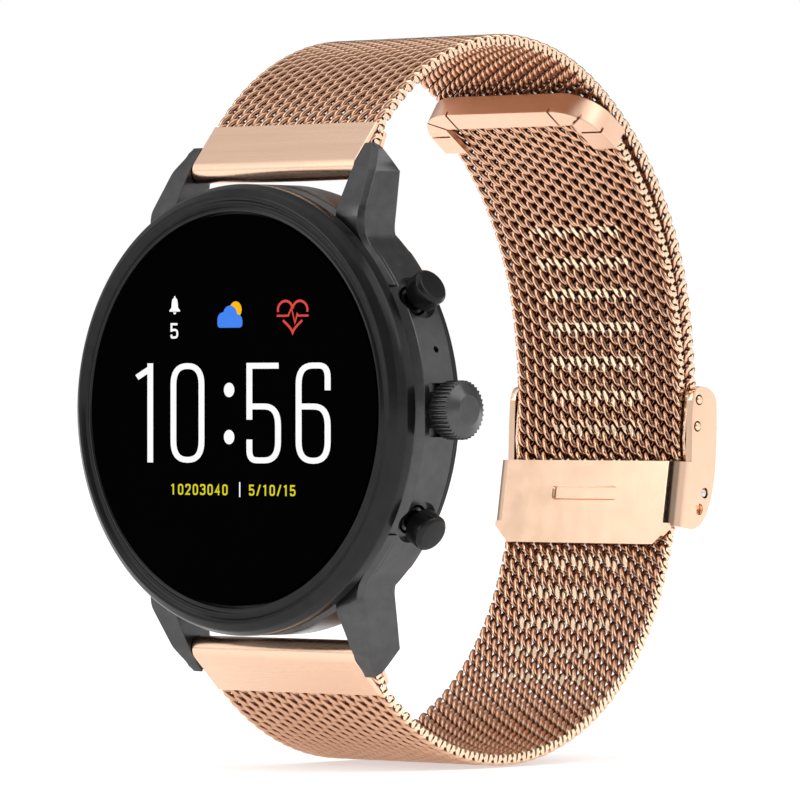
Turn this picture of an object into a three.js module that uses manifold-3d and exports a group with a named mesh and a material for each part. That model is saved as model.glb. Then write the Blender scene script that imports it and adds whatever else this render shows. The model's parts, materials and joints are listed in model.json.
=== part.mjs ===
// Round smartwatch on a woven steel loop band.
// Frame, in millimetres: the origin is the centre of the flat rear sensor window, +Y points out of
// the case back towards the wrist, +Z points to 12 o'clock and +X to 3 o'clock, the crown side.
import * as THREE from "three";
import { mergeVertices } from "three/addons/utils/BufferGeometryUtils.js";
import Module from "manifold-3d";

const wasm = await Module();
wasm.setup();

// ---------------------------------------------------------------- driving dimensions
// Case: depths are places along Y, radii are about the dial axis.
const CASE_RADIUS = 22;
const CASE_BORE = 19.3;
const CASE_FRONT = -9;
const CASE_REAR = -3.4;
const CASE_CHAMFER = 0.8;
const BEZEL_FRONT = -12;
const GLASS_RADIUS = 19.05;
const GLASS_FRONT = -11.85;
const LEDGE_RADIUS = 18.2;
const COVER_RADIUS = 21.4;
const WINDOW_RADIUS = 12;
const SCREW_CIRCLE = 20.35;
const SCREW_ANGLES = [45, 135, 225, 315];

// Lugs and the spring bars between them.
const LUG_GAP = 22;
const LUG_WIDTH = 3.5;
const LUG_CHAMFER = 0.5;
const LUG_TIP_Z = 26;
const BAR_Y = -4.9;
const BAR_Z = 23.6;
const BAR_TUBE_RADIUS = 0.75;
const BAR_TUBE_HALF = 8;
const BAR_TIP_RADIUS = 0.4;

// Crown and push buttons.
const CROWN_Y = -6.15;
const CROWN_RADIUS = 2.85;
const CROWN_TEETH = 36;
const CROWN_ROOT = 23.2;
const CROWN_END = 25.9;
const PUSHER_ANGLE = 29.5;
const PUSHER_RADIUS = 1.85;
const PUSHER_ROOT = 22.4;
const PUSHER_END = 24.4;
const CROWN_TUBE_BORE = 1.75;
const PUSHER_TUBE_BORE = 1.6;
const PUSHER_RECESS = 2.25;
const MIC_ANGLE = 15.4;
const MIC_Y = -5.7;

// Woven band: each half is a chain of arcs on its centre line, [radius, turn in degrees].
const BAND_WIDTH = 21.9;
const BAND_THICKNESS = 1.35;
const BAND_OFFSET = 0.55;
const END_PIECE_LENGTH = 4.7;
const END_PIECE_RADIUS = 1.3;
const END_PIECE_SHEET = 0.5;
const BAND_START = 5;
const UPPER_HEADING = 50.3;
const LOWER_HEADING = 44;
const UPPER_ARCS = [[24.4, 32.5], [23.4, 51.5], [33.5, 46.3], [67.9, 13.7]];
const LOWER_ARCS = [[25.3, 113.1], [52.6, 31], [32.5, 45]];
const TRIM_LENGTH = 5.2;
const TRIM_TOP = 1.2;
const TRIM_CORNER = 4.2;
const TRIM_ARM = 2.95;
const TRIM_FACES = [-1.75, 0.7];
const TRIM_SHEET = 0.5;
const TRIM_SLITS = [[6.85, -1.1, 90], [8, -1.4, 33], [8.9, -2.36, 0]];

// Clasp, in its own frame: y out through the lid, z up along the band.
const CLASP_Y = 42.8;
const CLASP_Z = -7.6;
const CLASP_TILT = 9;
const CLASP_WIDTH = 24.9;
const CLASP_SHEET = 0.45;
const CHEEK_THICKNESS = 0.8;
const PLATE_FACE = -2.25;
const SLOT_DEPTH = 0.3;
const LID_PIN = [2.1, -0.6];
const GUIDE_PIN = [1.45, -2.35];
const RIVETS = [[-0.1, 5.95], [-0.25, 8.65]];

// Smoothness of round faces.
const LARGE_ROUND = 56;
const INNER_ROUND = 32;
const SMALL_ROUND = 16;

// ---------------------------------------------------------------- materials
const finish = (color, roughness, metalness) =>
  new THREE.MeshStandardMaterial({ color, roughness, metalness });
const rose = finish(0xdca98a, 0.25, 1);
const roseSatin = finish(0xe0b193, 0.35, 1);
const steel = finish(0xc8c8c8, 0.3, 1);
const black = finish(0x2a2a2b, 0.35, 0.8);
const graphite = finish(0x414142, 0.4, 0.7);
const glass = finish(0x050505, 0.05, 0);
const rubber = finish(0x181818, 0.8, 0);
const board = finish(0x1d4a2c, 0.6, 0);
const plastic = finish(0x262628, 0.6, 0);
const copper = finish(0xb87333, 0.4, 1);
const foil = finish(0x8f9296, 0.45, 0.6);

// ---------------------------------------------------------------- solids
// A closed three.js geometry as a manifold solid, for joining and cutting.
function solidOf(geometry) {
  const bare = geometry.index ? geometry.toNonIndexed() : geometry.clone();
  const positions = new THREE.BufferGeometry();
  positions.setAttribute("position", bare.getAttribute("position"));
  const merged = mergeVertices(positions, 1e-4);
  const solid = new wasm.Manifold(new wasm.Mesh({
    numProp: 3,
    vertProperties: merged.attributes.position.array,
    triVerts: new Uint32Array(merged.index.array),
  }));
  return solid;
}

function geometryOf(solid) {
  const mesh = solid.getMesh();
  const geometry = new THREE.BufferGeometry();
  geometry.setAttribute("position", new THREE.BufferAttribute(new Float32Array(mesh.vertProperties), 3));
  geometry.setIndex(new THREE.BufferAttribute(new Uint32Array(mesh.triVerts), 1));
  geometry.computeVertexNormals();
  return geometry;
}

const joined = (...solids) => solids.reduce((sum, solid) => sum.add(solid));
const less = (body, ...cutters) => cutters.reduce((rest, cutter) => rest.subtract(cutter), body);

function block([x0, x1], [y0, y1], [z0, z1]) {
  const geometry = new THREE.BoxGeometry(x1 - x0, y1 - y0, z1 - z0);
  return solidOf(geometry.translate((x0 + x1) / 2, (y0 + y1) / 2, (z0 + z1) / 2));
}

// A profile of [radius, place] points turned about Y; it closes on itself or on the axis.
function turned(profile, segments = SMALL_ROUND) {
  const points = profile.map(([radius, place]) => new THREE.Vector2(radius, place));
  const onAxis = points[0].x === 0 && points[points.length - 1].x === 0;
  const clockwise = THREE.ShapeUtils.isClockWise(points);
  const ordered = clockwise ? [...points].reverse() : points;
  if (!onAxis) ordered.push(ordered[0].clone());
  return solidOf(new THREE.LatheGeometry(ordered, segments));
}

const disc = (radius, y0, y1, segments = SMALL_ROUND) =>
  turned([[0, y0], [radius, y0], [radius, y1], [0, y1]], segments);

const ring = (inner, outer, y0, y1, segments = SMALL_ROUND) =>
  turned([[inner, y0], [outer, y0], [outer, y1], [inner, y1]], segments);

// The same turned shapes with their axis along X, and a straight rod along X.
const QUARTER = 90;
const alongX = (solid) => solid.rotate([0, 0, -QUARTER]);
const rod = (radius, x0, x1, [y, z], segments = SMALL_ROUND) =>
  alongX(disc(radius, x0, x1, segments)).translate([0, y, z]);
const sleeve = (inner, outer, x0, x1, [y, z], segments = SMALL_ROUND) =>
  alongX(ring(inner, outer, x0, x1, segments)).translate([0, y, z]);

// A shape drawn in the side view, (y, z), and extruded along X, with an optional chamfer.
const SIDE_VIEW = new THREE.Matrix4().makeBasis(
  new THREE.Vector3(0, 1, 0),
  new THREE.Vector3(0, 0, 1),
  new THREE.Vector3(1, 0, 0),
);
// A shape drawn in the front view, (x, z), and extruded towards -Y.
const FRONT_VIEW = new THREE.Matrix4().makeBasis(
  new THREE.Vector3(1, 0, 0),
  new THREE.Vector3(0, 0, 1),
  new THREE.Vector3(0, -1, 0),
);

function extruded(shape, depth, chamfer, curveSegments) {
  const options = { depth: depth - 2 * chamfer, curveSegments, bevelEnabled: chamfer > 0 };
  const bevel = { bevelThickness: chamfer, bevelSize: chamfer, bevelOffset: -chamfer, bevelSegments: 1 };
  return new THREE.ExtrudeGeometry(shape, { ...options, ...bevel }).translate(0, 0, chamfer);
}

const sidePlate = (shape, x0, x1, chamfer = 0, curveSegments = 6) =>
  solidOf(extruded(shape, x1 - x0, chamfer, curveSegments).applyMatrix4(SIDE_VIEW).translate(x0, 0, 0));

const frontPlate = (shape, y0, y1, chamfer = 0, curveSegments = 6) =>
  solidOf(extruded(shape, y1 - y0, chamfer, curveSegments).applyMatrix4(FRONT_VIEW).translate(0, y1, 0));

const planPlate = (shape, z0, z1, curveSegments = 6) =>
  solidOf(extruded(shape, z1 - z0, 0, curveSegments).translate(0, 0, z0));

const polygon = (points) => new THREE.Shape(points.map(([x, y]) => new THREE.Vector2(x, y)));

// ---------------------------------------------------------------- the object's scene graph
const watch = new THREE.Group();

function piece(name, material, solid, parent = watch) {
  const mesh = new THREE.Mesh(geometryOf(solid), material);
  mesh.name = name;
  parent.add(mesh);
  return mesh;
}

const radians = THREE.MathUtils.degToRad;

// A group whose +X points outwards in the dial plane at an angle above 3 o'clock.
function radialGroup(angle) {
  const group = new THREE.Group();
  group.rotation.y = -radians(angle);
  watch.add(group);
  return group;
}

// The same turn for a cutter that is drawn along +X.
const atAngle = (solid, angle) => solid.rotate([0, -angle, 0]);

// ---------------------------------------------------------------- case
// Side view of one lug, from inside the case wall out to its tip.
function lugProfile(side) {
  const front = [[CASE_FRONT, 13], [CASE_FRONT, 19], [-8.5, 20.2], [-6.4, 23.7], [-4.6, LUG_TIP_Z]];
  const rear = [[-3.34, 23.1], [-4.25, 16.9], [CASE_REAR, 15.2], [CASE_REAR, 13]];
  return polygon([...front, ...rear].map(([y, z]) => [y, z * side]));
}

// The lugs are narrower towards their tips; taper is the front view's outline.
function lugs() {
  const outer = LUG_GAP / 2 + LUG_WIDTH;
  const across = [-1, 1].map((side) => sidePlate(lugProfile(side), -outer, outer, LUG_CHAMFER));
  const right = [[outer, -21], [outer, 21], [outer - 0.6, 23.4], [outer - 1.8, LUG_TIP_Z + 0.1]];
  const left = right.map(([x, z]) => [-x, z]).reverse();
  const below = [[-outer, -21], [0.6 - outer, -23.4], [1.8 - outer, -LUG_TIP_Z - 0.1]];
  const belowRight = below.map(([x, z]) => [-x, z]).reverse();
  const taper = polygon([...right, ...left, ...below.slice(1), ...belowRight.slice(0, -1)]);
  const gap = block([-LUG_GAP / 2, LUG_GAP / 2], [CASE_FRONT - 1, 0], [-30, 30]);
  return less(joined(...across).intersect(frontPlate(taper, CASE_FRONT - 1, 0)), gap);
}

// Blind holes for the spring-bar tips, in the inner faces of the lugs.
function barHoles() {
  const reach = LUG_GAP / 2 + 1.6;
  const holes = [-1, 1].map((side) => rod(BAR_TIP_RADIUS + 0.12, -reach, reach, [BAR_Y, BAR_Z * side]));
  return joined(...holes);
}

// Wall openings: a rectangular pocket behind the crown, its tube bore, the button bores and the
// microphone port.
function wallOpenings() {
  const crownPocket = block([20.9, 24], [-7.45, -4.85], [-2.6, 2.6]);
  const crownBore = rod(CROWN_TUBE_BORE, 15, 24, [CROWN_Y, 0]);
  const micPort = atAngle(rod(0.32, 18, 24, [MIC_Y, 0], 12), MIC_ANGLE);
  const pushers = [-PUSHER_ANGLE, PUSHER_ANGLE].map((angle) => {
    const bore = rod(PUSHER_TUBE_BORE, 18, 24, [CROWN_Y, 0]);
    const recess = rod(PUSHER_RECESS, 21.3, 24, [CROWN_Y, 0]);
    return atAngle(joined(bore, recess), angle);
  });
  return joined(crownPocket, crownBore, micPort, ...pushers);
}

// Places on the screw circle, as [x, z].
const screwPlaces = SCREW_ANGLES.map((angle) => [
  SCREW_CIRCLE * Math.cos(radians(angle)),
  SCREW_CIRCLE * Math.sin(radians(angle)),
]);
const screwHoles = (radius, y0, y1) =>
  joined(...screwPlaces.map(([x, z]) => disc(radius, y0, y1, 12).translate([x, 0, z])));

function midCase() {
  const wall = turned([
    [CASE_BORE - 1, CASE_FRONT],
    [CASE_RADIUS - CASE_CHAMFER, CASE_FRONT],
    [CASE_RADIUS, CASE_FRONT + CASE_CHAMFER],
    [CASE_RADIUS, CASE_REAR - 0.3],
    [CASE_RADIUS - 0.3, CASE_REAR],
    [CASE_BORE - 1, CASE_REAR],
  ], LARGE_ROUND);
  const bore = disc(CASE_BORE, CASE_FRONT - 1, CASE_REAR + 1, LARGE_ROUND);
  return less(joined(wall, lugs()), bore, wallOpenings(), barHoles(), screwHoles(0.5, -6, CASE_REAR + 1));
}

// Front ring: a rounded outer ridge, a shallow channel and a thin lip at the glass.
function bezel() {
  return turned([
    [LEDGE_RADIUS, -10.65],
    [GLASS_RADIUS + 0.25, -10.65],
    [GLASS_RADIUS + 0.25, -11.8],
    [GLASS_RADIUS + 0.5, -11.9],
    [19.8, -11.7],
    [20.2, -11.7],
    [20.5, BEZEL_FRONT],
    [20.9, BEZEL_FRONT],
    [21.5, -11.6],
    [CASE_RADIUS, -10.9],
    [CASE_RADIUS, -9.5],
    [CASE_RADIUS - 0.5, CASE_FRONT - 0.3],
    [LEDGE_RADIUS, CASE_FRONT - 0.3],
  ], LARGE_ROUND);
}

function rearCover() {
  const shell = turned([
    [WINDOW_RADIUS + 0.3, -2.9],
    [COVER_RADIUS, -2.9],
    [COVER_RADIUS, -2.6],
    [20.6, -1.9],
    [17, -1.5],
    [14.6, -1.2],
    [13.6, -0.5],
    [WINDOW_RADIUS + 0.3, -0.4],
  ], LARGE_ROUND);
  return less(shell, screwHoles(0.5, -3.5, 0), screwHoles(0.85, -2.35, 0));
}

function sensorWindow() {
  return turned([
    [0, -1.8],
    [WINDOW_RADIUS, -1.8],
    [WINDOW_RADIUS, -0.5],
    [10.6, -0.12],
    [8, 0],
    [0, 0],
  ], LARGE_ROUND);
}

function caseParts() {
  piece("mid_case", graphite, midCase());
  piece("bezel", black, bezel());
  piece("cover_glass", glass, disc(GLASS_RADIUS, GLASS_FRONT, -10.95, LARGE_ROUND));
  piece("glass_gasket", rubber, ring(LEDGE_RADIUS + 0.2, GLASS_RADIUS - 0.1, -10.9, -10.7, INNER_ROUND));
  piece("bezel_gasket", rubber, ring(CASE_BORE + 0.2, CASE_RADIUS - 0.9, -9.25, -9.05, INNER_ROUND));
  const gasket = ring(CASE_BORE + 0.1, COVER_RADIUS - 0.2, -3.3, -3, LARGE_ROUND);
  piece("rear_gasket", rubber, less(gasket, screwHoles(0.6, -4, 0)));
  piece("rear_cover", black, rearCover());
  piece("sensor_window", glass, sensorWindow());
  screwPlaces.forEach(([x, z], index) => {
    const shank = [[0, -5.6], [0.38, -5.6], [0.38, -2.25]];
    const screw = turned([...shank, [0.72, -2.25], [0.72, -1.95], [0, -1.95]], 12);
    piece(`cover_screw_${index + 1}`, steel, screw.translate([x, 0, z]));
  });
}

// ---------------------------------------------------------------- electronics
function insideParts() {
  piece("display_panel", glass, disc(17.9, -10.8, -9.9, INNER_ROUND));
  const frame = less(ring(15.5, 18, -9.7, -9.2, INNER_ROUND), block([15, 19], [-10, -9], [-2, 2]));
  piece("display_frame", steel, joined(frame, block([-16, 16], [-9.6, -9.2], [-1.5, 1.5])));
  const edge = block([15.5, 20], [-9, -8], [-4, 4]);
  piece("main_board", board, less(disc(18.4, -8.9, -8.1, INNER_ROUND), edge));
  piece("shield_can", foil, block([-13, -3], [-8.05, -6.95], [3.5, 11]));
  piece("battery", foil, block([-14, 9.5], [-6.8, -4], [-9.8, 9.8]));
  piece("haptic_motor", steel, disc(3.6, -7.9, -5.2).translate([3.5, 0, -13.9]));
  piece("loudspeaker", plastic, block([-12, -3], [-7.9, -5.2], [-14, -10.6]));
  piece("charging_coil", copper, ring(13.2, 16.5, -3.7, -3.25, INNER_ROUND));
  piece("sensor_board", board, disc(10.5, -3.1, -2.3, INNER_ROUND));
  const micSide = radialGroup(MIC_ANGLE);
  piece("microphone", foil, block([15.6, 17.6], [-6.6, -5], [-1.5, 1.5]), micSide);
}

// ---------------------------------------------------------------- crown and push buttons
// The barrel's outline with one tooth and one groove for each step round.
function knurl(radius, depth, teeth) {
  const shape = new THREE.Shape();
  for (let step = 0; step < teeth * 4; step += 1) {
    const angle = (step / (teeth * 4)) * 2 * Math.PI;
    const reach = step % 4 < 2 ? radius : radius - depth;
    const point = [Math.cos(angle) * reach, Math.sin(angle) * reach];
    if (step === 0) shape.moveTo(...point);
    else shape.lineTo(...point);
  }
  shape.closePath();
  return shape;
}

function crownParts() {
  const centre = [CROWN_Y, 0];
  const barrel = sidePlate(knurl(CROWN_RADIUS, 0.2, CROWN_TEETH), CROWN_ROOT, CROWN_END);
  const cone = alongX(turned([
    [0, CROWN_ROOT - 1],
    [CROWN_RADIUS + 0.4, CROWN_ROOT - 1],
    [CROWN_RADIUS + 0.4, CROWN_END - 0.9],
    [1.35, CROWN_END],
    [0, CROWN_END],
  ], INNER_ROUND));
  const socket = alongX(disc(0.85, CROWN_ROOT - 1, CROWN_ROOT + 1.4));
  piece("crown", graphite, less(barrel.intersect(cone), socket).translate([0, ...centre]));
  piece("crown_stem", steel, rod(0.75, 14.9, CROWN_ROOT + 1.3, centre));
  piece("crown_collar", steel, sleeve(0.85, 1.5, 17, 17.7, centre));
  piece("crown_tube", steel, sleeve(1.15, 1.65, 19, 22.3, centre));
  piece("crown_seal", rubber, sleeve(0.8, 1.1, 19.4, 20, centre));
  piece("crown_encoder", plastic, block([12.6, 14.4], [-7.9, -4.2], [-2.6, 2.6]));
}

// One push button: a cap on a stem, its tube, seal and switch, drawn along +X.
function pusherParts(side, angle) {
  const group = radialGroup(angle);
  const centre = [CROWN_Y, 0];
  const cap = alongX(turned([
    [0, 17.3],
    [0.6, 17.3],
    [0.6, PUSHER_ROOT - 0.4],
    [1.5, PUSHER_ROOT - 0.35],
    [1.5, PUSHER_ROOT],
    [PUSHER_RADIUS, PUSHER_ROOT],
    [PUSHER_RADIUS, PUSHER_END - 0.35],
    [PUSHER_RADIUS - 0.35, PUSHER_END],
    [0, PUSHER_END],
  ], 28)).translate([0, ...centre]);
  piece(`${side}_pusher`, graphite, cap, group);
  piece(`${side}_pusher_tube`, steel, sleeve(1, 1.3, 19, 21.2, centre), group);
  piece(`${side}_pusher_seal`, rubber, sleeve(0.65, 0.95, 19.5, 20.1, centre), group);
  piece(`${side}_pusher_switch`, plastic, block([15.6, 16.5], [-7.4, -4.9], [-1.6, 1.6]), group);
}

// ---------------------------------------------------------------- spring bars
const BAR_REACH = LUG_GAP / 2;
function springBar(side, sign) {
  const centre = [BAR_Y, BAR_Z * sign];
  piece(`${side}_bar_tube`, steel, sleeve(0.5, BAR_TUBE_RADIUS, -BAR_TUBE_HALF, BAR_TUBE_HALF, centre));
  const tip = alongX(turned([
    [0, 6.6],
    [0.42, 6.6],
    [0.42, 9.5],
    [0.6, 9.5],
    [0.6, 9.9],
    [BAR_TIP_RADIUS, 9.9],
    [BAR_TIP_RADIUS, BAR_REACH + 1.3],
    [0, BAR_REACH + 1.3],
  ], 16));
  piece(`${side}_bar_tip_right`, steel, tip.translate([0, ...centre]));
  piece(`${side}_bar_tip_left`, steel, tip.rotate([0, 2 * QUARTER, 0]).translate([0, ...centre]));
}

// ---------------------------------------------------------------- band
// A chain of arcs in the side view. Each arc keeps its centre, radius and start and end angles,
// measured at the centre, so a parallel outline is the same arc with another radius.
function arcChain([startY, startZ], headingDegrees, arcs, turn) {
  let y = startY;
  let z = startZ;
  let heading = radians(headingDegrees);
  return arcs.map(([radius, degrees]) => {
    const centre = [y - turn * radius * Math.sin(heading), z + turn * radius * Math.cos(heading)];
    const from = heading - (turn * Math.PI) / 2;
    heading += turn * radians(degrees);
    const to = heading - (turn * Math.PI) / 2;
    y = centre[0] + radius * Math.cos(to);
    z = centre[1] + radius * Math.sin(to);
    return { centre, radius, from, to, end: [y, z], heading };
  });
}

// A strip of even thickness about a chain of arcs.
function strip(chain, thickness, turn) {
  const shape = new THREE.Shape();
  const outward = chain.map((arc) => ({ ...arc, radius: arc.radius + thickness / 2 }));
  const inward = chain.map((arc) => ({ ...arc, radius: arc.radius - thickness / 2 })).reverse();
  const first = outward[0];
  shape.moveTo(
    first.centre[0] + first.radius * Math.cos(first.from),
    first.centre[1] + first.radius * Math.sin(first.from),
  );
  const clockwise = turn < 0;
  outward.forEach(({ centre, radius, from, to }) => shape.absarc(...centre, radius, from, to, clockwise));
  inward.forEach(({ centre, radius, from, to }) => shape.absarc(...centre, radius, to, from, !clockwise));
  shape.closePath();
  return shape;
}

// Where a band half starts, from its spring bar: along the end piece, then out to the centre line.
function bandStart(sign, heading) {
  const along = [Math.cos(radians(heading)), Math.sin(radians(heading))];
  const y = BAR_Y + BAND_START * along[0] - BAND_OFFSET * along[1];
  const z = BAR_Z + BAND_START * along[1] + BAND_OFFSET * along[0];
  return [y, z * sign];
}

// The folded sheet that wraps the spring bar, drawn with its bar at the origin and the band on +Y.
function endPieceShape() {
  const outer = END_PIECE_RADIUS;
  const inner = END_PIECE_RADIUS - END_PIECE_SHEET;
  const short = 2.6;
  const shape = new THREE.Shape();
  shape.moveTo(END_PIECE_LENGTH, inner);
  shape.lineTo(END_PIECE_LENGTH, outer);
  shape.lineTo(0, outer);
  shape.absarc(0, 0, outer, Math.PI / 2, (3 * Math.PI) / 2, false);
  shape.lineTo(short, -outer);
  shape.lineTo(END_PIECE_LENGTH, BAND_OFFSET - BAND_THICKNESS / 2 - END_PIECE_SHEET);
  shape.lineTo(END_PIECE_LENGTH, BAND_OFFSET - BAND_THICKNESS / 2);
  shape.lineTo(short, -inner);
  shape.lineTo(0, -inner);
  shape.absarc(0, 0, inner, (3 * Math.PI) / 2, Math.PI / 2, true);
  shape.closePath();
  return shape;
}

function endPiece(name, sign, heading) {
  const group = new THREE.Group();
  group.position.set(0, BAR_Y, BAR_Z * sign);
  group.rotation.x = sign * radians(heading);
  group.scale.z = sign;
  watch.add(group);
  const half = BAND_WIDTH / 2 - 0.05;
  piece(name, roseSatin, sidePlate(endPieceShape(), -half, half, 0, 8), group);
}

const upperChain = arcChain(bandStart(1, UPPER_HEADING), UPPER_HEADING, UPPER_ARCS, -1);
const lowerChain = arcChain(bandStart(-1, LOWER_HEADING), -LOWER_HEADING, LOWER_ARCS, 1);

// Slits through the trim's flange, where it is folded round each corner: each starts at a place
// [x, z] and runs out at an angle.
function trimSlits(front) {
  const slit = block([0, 4], [front - 0.4, front + TRIM_SHEET], [-0.1, 0.1]);
  return [1, -1].flatMap((side) => TRIM_SLITS.map(([x, z, angle]) =>
    atAngle(slit, side > 0 ? angle : 2 * QUARTER - angle).translate([x * side, 0, z])));
}

// A front-view outline with a square lower end and two round upper corners.
function channelShape(half, low, top, corner) {
  const shape = new THREE.Shape();
  shape.moveTo(-half, low);
  shape.lineTo(half, low);
  shape.lineTo(half, top - corner);
  shape.absarc(half - corner, top - corner, corner, 0, Math.PI / 2, false);
  shape.absarc(corner - half, top - corner, corner, Math.PI / 2, Math.PI, false);
  shape.closePath();
  return shape;
}

// The rose metal channel that closes the free end of the lower half: a web across the end and two
// arms along the edges, with round corners. It is drawn with the band's end at the origin, the
// band's way on along +Z and its outer face towards +Y.
function tipTrim() {
  const half = BAND_WIDTH / 2 + 0.6;
  const [front, rear] = TRIM_FACES;
  const shell = frontPlate(channelShape(half, -TRIM_LENGTH, TRIM_TOP, TRIM_CORNER), front, rear, 0.12);
  const open = -TRIM_LENGTH - 1;
  const pocketShape = channelShape(BAND_WIDTH / 2 + 0.1, open, 0.3, TRIM_CORNER - 0.7);
  const pocket = frontPlate(pocketShape, front + TRIM_SHEET + 0.05, rear + 0.3);
  const web = TRIM_TOP - 2.3;
  const gap = half - TRIM_ARM;
  const window = block([-gap, gap], [front - 0.4, rear + 0.3], [open, web]);
  return less(shell, pocket, window, ...trimSlits(front));
}

// What is cut off the corners of the lower half's end, to fit inside the trim's round corners.
function tipCorners() {
  const half = BAND_WIDTH / 2;
  return [1, -1].map((side) => {
    const corner = [[half + 0.5, 0.5], [half - 3.5, 0.5], [half - 3.5, 0], [half, -3.3], [half + 0.5, -3.3]];
    return frontPlate(polygon(corner.map(([x, z]) => [x * side, z])), -3, 3);
  });
}

function bandParts() {
  const half = BAND_WIDTH / 2;
  piece("upper_band", rose, sidePlate(strip(upperChain, BAND_THICKNESS, -1), -half, half, 0, 6));
  const last = lowerChain[lowerChain.length - 1];
  const lower = sidePlate(strip(lowerChain, BAND_THICKNESS, 1), -half, half, 0, 9);
  const corners = tipCorners().map((cutter) =>
    cutter.rotate([THREE.MathUtils.radToDeg(last.heading) - QUARTER, 0, 0]).translate([0, ...last.end]));
  piece("lower_band", rose, less(lower, ...corners));
  endPiece("upper_end_piece", 1, UPPER_HEADING);
  endPiece("lower_end_piece", -1, LOWER_HEADING);
  const tip = new THREE.Group();
  tip.position.set(0, ...last.end);
  tip.rotation.x = last.heading - Math.PI / 2;
  watch.add(tip);
  piece("band_tip_trim", roseSatin, tipTrim(), tip);
}

// ---------------------------------------------------------------- clasp
// Side view of a cheek: straight front edge, round top, long outer edge and a swept lower corner.
function cheekOutline() {
  const shape = new THREE.Shape();
  shape.moveTo(PLATE_FACE, -4.6);
  shape.lineTo(PLATE_FACE, 2.05);
  shape.lineTo(-0.45, 2.2);
  shape.lineTo(-1.25, 8.4);
  shape.quadraticCurveTo(-1.2, 10, 0.2, 10.1);
  shape.quadraticCurveTo(2.1, 10.1, 2.5, 8.7);
  shape.quadraticCurveTo(3.3, 4.6, 3.35, 1.5);
  shape.quadraticCurveTo(3.3, -4.6, 0, -4.6);
  shape.closePath();
  return shape;
}

// Plan of the folded sheet: an inner plate with a cheek bent up at each side.
function claspPlan() {
  const half = CLASP_WIDTH / 2;
  const bend = 1.6;
  const inner = half - CHEEK_THICKNESS;
  const floor = PLATE_FACE + CLASP_SHEET;
  const shape = new THREE.Shape();
  shape.moveTo(-half + bend, PLATE_FACE);
  shape.lineTo(half - bend, PLATE_FACE);
  shape.absarc(half - bend, PLATE_FACE + bend, bend, -Math.PI / 2, 0, false);
  shape.lineTo(half, 5);
  shape.lineTo(inner, 5);
  shape.lineTo(inner, floor);
  shape.lineTo(-inner, floor);
  shape.lineTo(-inner, 5);
  shape.lineTo(-half, 5);
  shape.absarc(-half + bend, PLATE_FACE + bend, bend, Math.PI, (3 * Math.PI) / 2, false);
  shape.closePath();
  return shape;
}

const LID_HALF = CLASP_WIDTH / 2 - CHEEK_THICKNESS - 0.15;
const through = CLASP_WIDTH / 2 + 1;

function claspBody() {
  const half = CLASP_WIDTH / 2;
  const folded = planPlate(claspPlan(), -6.6, 11, 5);
  const cheeks = sidePlate(cheekOutline(), -half, half, 0, 5);
  const floor = PLATE_FACE + CLASP_SHEET;
  const apron = polygon([[-half + 0.6, -4.5], [2.6 - half, -6.5], [half - 2.6, -6.5], [half - 0.6, -4.5]]);
  const tongue = frontPlate(apron, PLATE_FACE, floor).intersect(folded);
  const slot = block([-4.2, 4.2], [PLATE_FACE - 1, PLATE_FACE + SLOT_DEPTH], [-1.9, -0.7]);
  const holes = [[LID_PIN, 0.55], [GUIDE_PIN, 0.6], [RIVETS[0], 0.55], [RIVETS[1], 0.55]];
  const bores = holes.map(([place, radius]) => rod(radius, -through, through, place));
  return less(joined(folded.intersect(cheeks), tongue), slot, ...bores);
}

// The lid: a plate between the cheeks, curled round its pin, with a cam nose under the curl.
function claspLid() {
  const [pinY, pinZ] = LID_PIN;
  const shape = new THREE.Shape();
  shape.moveTo(2.3, 9.4);
  shape.lineTo(1.75, 9.3);
  shape.lineTo(2.3, 5);
  shape.lineTo(2.55, 1);
  shape.lineTo(pinY - 0.8, pinZ + 0.5);
  shape.lineTo(pinY - 1.4, pinZ - 0.1);
  shape.absarc(pinY, pinZ, 0.85, Math.PI * 1.2, Math.PI * 2, false);
  shape.lineTo(3.1, 1);
  shape.lineTo(2.85, 5);
  shape.closePath();
  const bore = rod(0.5, -through, through, LID_PIN);
  return less(sidePlate(shape, -LID_HALF, LID_HALF, 0, 5), bore);
}

// The bracket in which the upper half ends: a bar across its end and an ear along each edge,
// riveted between the cheeks.
const EAR_OUTER = CLASP_WIDTH / 2 - CHEEK_THICKNESS - 0.15;
const EAR_THICKNESS = 0.35;
function endBracket() {
  const ear = polygon([[0.7, 1.5], [2.1, 1.5], [1.3, 9.5], [-1, 9.5], [-0.75, 4.5], [-0.2, 2.4]]);
  const ears = [-EAR_OUTER, EAR_OUTER - EAR_THICKNESS].map((x) => sidePlate(ear, x, x + EAR_THICKNESS));
  const bar = polygon([[0.8, 1.5], [2.1, 1.5], [2.1, 1.9], [0.8, 1.9]]);
  const bores = RIVETS.map((place) => rod(0.5, -through, through, place, 16));
  return less(joined(sidePlate(bar, -EAR_OUTER, EAR_OUTER), ...ears), ...bores);
}

// A rivet that joins an ear to its cheek, with its head a little proud of the cheek.
function rivet([y, z], side) {
  const inner = EAR_OUTER - EAR_THICKNESS;
  const body = alongX(turned([
    [0, inner],
    [0.42, inner],
    [0.42, CLASP_WIDTH / 2],
    [0.42, CLASP_WIDTH / 2 + 0.1],
    [0.25, CLASP_WIDTH / 2 + 0.2],
    [0, CLASP_WIDTH / 2 + 0.2],
  ], 16));
  return (side > 0 ? body : body.rotate([0, 2 * QUARTER, 0])).translate([0, y, z]);
}

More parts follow.
